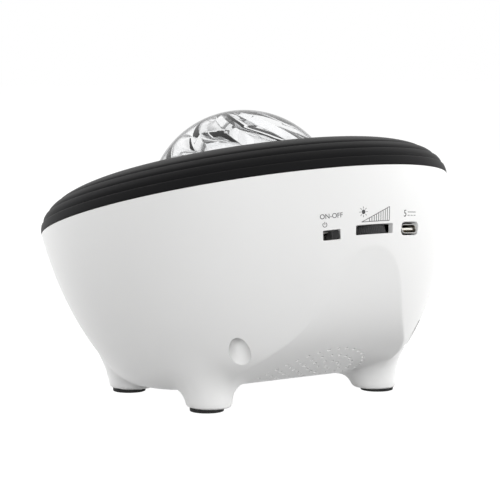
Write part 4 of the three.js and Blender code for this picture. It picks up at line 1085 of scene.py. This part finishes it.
socket = {"wide": 8.94, "high": 3.26, "sheet": 0.3, "long": 7.3, "in": 0.35, "cornerLess": 0.02,
          "lip": 0.1, "lipIn": 0.12, "cornerSteps": 12, "legShares": (0.62, 0.92), "leg": 0.5,
          "boardDepth": 24.3, "baseLess": (3.2, 1.2), "baseCorner": 0.6, "baseSteps": 6,
          "tongueWide": 6.6, "tongueHigh": 0.7, "tongueLong": 4.6, "tongueIn": 0.9,
          "tongueBack": 0.5, "tongueCorner": 0.2, "tongueSteps": 4,
          "contacts": 12, "pitch": 0.5, "contactHalf": 0.14, "contactRaise": 0.02,
          "contactEnds": (0.4, 0.5)}


def socketShell(mouth, back):
    wide, high, sheet, steps = (socket[k] for k in ("wide", "high", "sheet", "cornerSteps"))
    corner = high / 2 - socket["cornerLess"]
    outline, flare, hollow = (roundedOutline(wide - cut, high - cut, corner - cut / 2, steps)
                              for cut in (0, sheet, 2 * sheet))
    rows = [(outline, back), (outline, mouth - socket["lip"]), (flare, mouth),
            (hollow, mouth - socket["lipIn"]), (hollow, back)]
    shell = [(x, z, y) for line, y in rows for x, z in line], bandFaces(len(outline), len(rows))
    board, half, leg = socket["boardDepth"] - windows["socket"]["depth"], sheet / 2, socket["leg"]
    legs = []
    for side in (-1, 1):
        for share in socket["legShares"]:
            x, y = side * (wide / 2 - half), mouth - share * socket["long"]
            legs.append(boxPart(x - half, x + half, -board, 0, y - leg, y + leg))
    return joined(shell, *legs)


def socketTongue(back, base):
    (wideLess, highLess), end = socket["baseLess"], base + socket["tongueLong"]
    block = roundedOutline(socket["wide"] - wideLess, socket["high"] - highLess,
                           socket["baseCorner"], socket["baseSteps"])
    tongue = roundedOutline(socket["tongueWide"], socket["tongueHigh"], socket["tongueCorner"],
                            socket["tongueSteps"])
    return joined(prism(block, back, base), prism(tongue, back + socket["tongueBack"], end))


def socketContacts(base):
    half, up, (start, stop) = socket["contactHalf"], socket["contactRaise"], socket["contactEnds"]
    contacts = []
    for k in range(socket["contacts"]):
        x = (k - (socket["contacts"] - 1) / 2) * socket["pitch"]
        for side in (-1, 1):
            z = side * (socket["tongueHigh"] / 2 + up)
            contacts.append(boxPart(x - half, x + half, z - up, z + up, base + start,
                                    base + socket["tongueLong"] - stop))
    return joined(*contacts)


def makeSocket():
    mouth = wallRadius(windows["socket"]["depth"]) - socket["in"]
    back, base = mouth - socket["long"], mouth - socket["tongueIn"] - socket["tongueLong"]
    place = atWindow("socket") @ standing
    shell = addPiece("socketShell", moved(socketShell(mouth, back), place), "nickelPlate")
    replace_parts(shell, "usb_shell")
    tongue = addPiece("socketTongue", moved(socketTongue(back, base), place), "ivoryAcetal")
    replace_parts(tongue, "usb_tongue")
    addPiece("socketContacts", moved(socketContacts(base), place), "turnedBrass")


makeDial()
makeSwitch()
makeSocket()
print("controls made")


# Printed marks, laid on the wall

marks = {"thick": 0.05, "raise": 0.015, "line": 0.2, "strokeAt": 18, "strokeStep": 0.8,
         "onOff": {"turn": 13.65, "depth": 16.2, "height": 1.6, "narrow": 1.02},
         "power": {"turn": 15.7, "depth": 18.8, "radius": 0.75, "from": -55, "to": 235,
                   "points": 16, "bar": 1.3},
         "sun": {"turn": 3.6, "depth": 15.7, "core": 0.74, "coreSides": 24, "inner": 1.05,
                 "outer": 1.75, "rays": 8, "thin": 0.7},
         "ramp": {"left": 4.24, "right": -5.69, "low": 19.0, "high": 14.4, "bars": 10,
                  "start": 0.27},
         "five": {"turn": -12.3, "depth": 16.9, "height": 2.3},
         "current": {"from": -13.5, "to": -17.3, "depth": 16.9, "apart": 1.1, "dashes": 3,
                     "gap": 0.4}}


# Lays flat points, as an angle across and a depth, on the wall round the bowl
def onWall(points, lift):
    spots = [(wallRadius(depth) + lift, across, depth) for across, depth in points]
    return [(r * sin(across), r * cos(across), -depth) for r, across, depth in spots]


# Makes thin solids of flat parts: each has its points, its faces and its open edges
def printMark(name, parts):
    verts, faces = [], []
    for points, sheet, border in parts:
        base, count = len(verts), len(points)
        verts += onWall(points, marks["raise"]) + onWall(points, marks["raise"] + marks["thick"])
        faces += [[base + i for i in face] for face in sheet]
        faces += [[base + count + i for i in reversed(face)] for face in sheet]
        faces += [[base + a, base + b, base + count + b, base + count + a] for a, b in border]
    addPiece(name, (verts, faces), "greyInk")


def outlinePart(points):
    count = len(points)
    return points, [list(range(count))], [(i, (i + 1) % count) for i in range(count)]


# A line between two such points, in short lengths that follow the wall
def stroke(a, b, width=marks["line"]):
    size = wallRadius(marks["strokeAt"])
    dx, dy = (b[0] - a[0]) * size, b[1] - a[1]
    length = hypot(dx, dy)
    nx, ny = -dy / length * width / 2 / size, dx / length * width / 2
    count = max(1, ceil(length / marks["strokeStep"]))
    line = [tuple(a[k] + (b[k] - a[k]) * i / count for k in (0, 1)) for i in range(count + 1)]
    return [outlinePart([(p[0] + nx, p[1] + ny), (q[0] + nx, q[1] + ny),
                         (q[0] - nx, q[1] - ny), (p[0] - nx, p[1] - ny)])
            for p, q in zip(line, line[1:])]


# The point at a distance and an angle from a mark's middle
def around(mark, reach, t):
    return (radians(mark["turn"]) + reach * cos(t) / wallRadius(mark["depth"]),
            mark["depth"] + reach * sin(t))


def sunParts():
    s = marks["sun"]
    turns = np.linspace(0, tau, s["coreSides"] + 1)[:-1]
    parts = [outlinePart([around(s, s["core"], t) for t in turns])]
    for k in range(s["rays"]):
        t = tau * k / s["rays"]
        parts += stroke(around(s, s["inner"], t), around(s, s["outer"], t),
                        marks["line"] * s["thin"])
    return parts


def rampParts():
    s = marks["ramp"]
    left, right, low = radians(s["left"]), radians(s["right"]), s["low"]
    parts = stroke((left, low), (right, low)) + stroke((left, low), (right, s["high"]))
    for k in range(s["bars"]):
        share = s["start"] + (1 - s["start"]) * k / (s["bars"] - 1)
        x = left + (right - left) * share
        parts += stroke((x, low), (x, low - (low - s["high"]) * share))
    return parts


# A plain ring, open at its top, with a bar in the gap
def powerParts():
    s = marks["power"]
    turns = np.radians(np.linspace(s["from"], s["to"], s["points"]))
    arc = [around(s, s["radius"], t) for t in turns]
    parts = [part for a, b in zip(arc, arc[1:]) for part in stroke(a, b)]
    centre = radians(s["turn"])
    return parts + stroke((centre, s["depth"] - s["radius"] * s["bar"]), (centre, s["depth"]))


# The sign for direct current: a bar over three dashes
def currentParts():
    s = marks["current"]
    start, end = radians(s["from"]), radians(s["to"])
    high, low = s["depth"] - s["apart"] / 2, s["depth"] + s["apart"] / 2
    parts = stroke((start, high), (end, high))
    pitch = 1 / (s["dashes"] - s["gap"])
    for k in range(s["dashes"]):
        a, b = (start + (end - start) * at * pitch for at in (k, k + 1 - s["gap"]))
        parts += stroke((a, low), (b, low))
    return parts


def textPart(words, spec):
    curve = bpy.data.curves.new("words", "FONT")
    curve.body = words
    curve.align_x, curve.align_y = "CENTER", "CENTER"
    curve.size = spec["height"] / 0.7                            # capitals are 0.7 of the size
    curve.resolution_u = 4
    letters = newObject("words", curve)
    bpy.context.view_layer.update()
    mesh = bpy.data.meshes.new_from_object(
        letters.evaluated_get(bpy.context.evaluated_depsgraph_get()))
    bpy.data.objects.remove(letters)
    size, narrow = wallRadius(spec["depth"]), spec.get("narrow", 1.0)
    points = [(radians(spec["turn"]) - v.co.x * narrow / size, spec["depth"] - v.co.y)
              for v in mesh.vertices]
    bm = bmesh.new()
    bm.from_mesh(mesh)
    border = [[v.index for v in e.verts] for e in bm.edges if len(e.link_faces) == 1]
    bm.free()
    sheet = [list(p.vertices) for p in mesh.polygons]
    bpy.data.meshes.remove(mesh)
    return points, sheet, border


printMark("sunMark", sunParts())
printMark("rampMark", rampParts())
printMark("powerMark", powerParts())
printMark("directCurrentMark", currentParts())
printMark("onOffMark", [textPart("ON-OFF", marks["onOff"])])
printMark("fiveMark", [textPart("5", marks["five"])])
print("marks made")


# Looks of the CAD pieces that stay as they are, with how many there are where they're numbered

kept = {
    "screwSteel": {"motor_shaft": 0, "case_screw": 4, "frame_screw": 4, "motor_screw": 2,
                   "board_screw": 2, "speaker_screw": 3},
    "plainBlackPlastic": {"lamp_frame": 0, "controller_chip": 0, "buffer_capacitor": 0,
                          "dial_mount": 0},
    "nickelPlate": {"gear_motor": 0, "switch_body": 0, "speaker_magnet": 0},
    "satinAlloy": {"led_board": 0, "heat_sink": 0, "speaker_basket": 0},
    "turnedBrass": {"laser_module": 0}, "lampPhosphor": {"led_chips": 0},
    "greenLaminate": {"control_board": 0}, "pressedPaper": {"speaker_cone": 0},
}
for lookName, names in kept.items():
    for name, number in names.items():
        for node in [f"{name}_{k + 1}" for k in range(number)] or [name]:
            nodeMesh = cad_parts[node].data
            nodeMesh.materials.clear()
            nodeMesh.materials.append(looks[lookName])


# Camera, floor and light

view = {"place": (450.16, 606.15, 123.85), "ahead": (-0.5952, -0.7979, -0.0951), "lens": 148.44,
        "sensor": 36.0, "near": 0.01, "far": 20}


# Puts a camera or lamp at a place in metres, looking ahead
def aimed(name, data, place, ahead):
    obj = newObject(name, data)
    obj.location = place
    obj.rotation_euler = Vector(ahead).to_track_quat("-Z", "Y").to_euler()
    return obj


def addCamera():
    camera = bpy.data.cameras.new("photoCamera")
    camera.lens, camera.sensor_width, camera.sensor_fit = view["lens"], view["sensor"], "HORIZONTAL"
    camera.clip_start, camera.clip_end = view["near"], view["far"]
    place = [c * mm for c in view["place"]]
    bpy.context.scene.camera = aimed("photoCamera", camera, place, view["ahead"])


# Soft lamps: turn from +Y towards +X, angle of height, width and height of the panel, and power
lamps = {
    "backKey": (165, 38, 1.1, 1.0, 27.0), "sideFill": (-90, 10, 1.6, 0.4, 21.0),
    "frontFill": (35, 9, 1.8, 0.42, 12.5), "lowKicker": (150, 8, 1.0, 0.35, 5.0),
    "topFill": (30, 62, 1.5, 1.5, 5.8), "cornerFill": (-40, 9, 1.4, 0.4, 6.0),
}
# The pale room, in metres, with the lamps' distance from what they aim at
room = {"lampReach": 1.4, "lampAim": (0, 0, 0.05), "ambient": 0.05, "floorSize": 6.0,
        "floor": 0.3, "floorWhite": 0.72, "floorGlow": 1.4}


def addLamps():
    for name, (turn, rise, wide, high, power) in lamps.items():
        turn, rise = radians(turn), radians(rise)
        ahead = Vector((sin(turn) * cos(rise), cos(turn) * cos(rise), sin(rise)))
        lamp = bpy.data.lights.new(name, "AREA")
        lamp.shape, lamp.size, lamp.size_y, lamp.energy = "RECTANGLE", wide, high, power
        obj = aimed(name, lamp, Vector(room["lampAim"]) + ahead * room["lampReach"], -ahead)
        obj.visible_glossy = obj.visible_transmission = False    # gloss and glass meet the room


# One for rays that should meet plain white: the camera's, and those off gloss and through glass
def whiteRays(tree):
    rays = addNode(tree, "ShaderNodeLightPath", {}).outputs
    return calc(tree, "MAXIMUM", rays["Is Camera Ray"], calc(
        tree, "MAXIMUM", rays["Is Glossy Ray"], rays["Is Transmission Ray"]))


def addRoom():
    world = bpy.data.worlds.new("paleRoom")
    bpy.context.scene.world = world
    world.use_nodes = True
    tree = world.node_tree
    back = tree.nodes["Background"]
    back.inputs["Color"].default_value = (1, 1, 1, 1)
    strength = calc(tree, "MULTIPLY_ADD", whiteRays(tree), 1 - room["ambient"], room["ambient"])
    tree.links.new(strength, back.inputs["Strength"])


# A pale floor that keeps a light shadow, is otherwise white, and isn't seen from below
def addFloor():
    mesh = bpy.data.meshes.new("floor")
    size = room["floorSize"]
    mesh.from_pydata([(-size, -size, 0), (size, -size, 0), (size, size, 0), (-size, size, 0)], [],
                     [(0, 1, 2, 3)])
    look, tree, shader, _ = newLook("paleFloor", {
        "Base Color": (*[room["floor"]] * 3, 1), "Roughness": 1.0, "Specular IOR Level": 0.0})
    glow = addNode(tree, "ShaderNodeEmission", {"Strength": room["floorGlow"]}).outputs[0]
    white = calc(tree, "MULTIPLY", whiteRays(tree), room["floorWhite"])
    above = addNode(tree, "ShaderNodeMixShader", {0: white, 1: shader.outputs[0], 2: glow})
    below = addNode(tree, "ShaderNodeNewGeometry", {}).outputs["Backfacing"]
    clear = addNode(tree, "ShaderNodeBsdfTransparent", {}).outputs[0]
    both = addNode(tree, "ShaderNodeMixShader", {0: below, 1: above.outputs[0], 2: clear})
    tree.links.new(both.outputs[0], tree.nodes["Material Output"].inputs["Surface"])
    mesh.materials.append(look)
    newObject("floor", mesh)


addCamera()
addFloor()
addRoom()
addLamps()
bpy.context.scene.view_settings.view_transform = "Standard"
print("scene set")
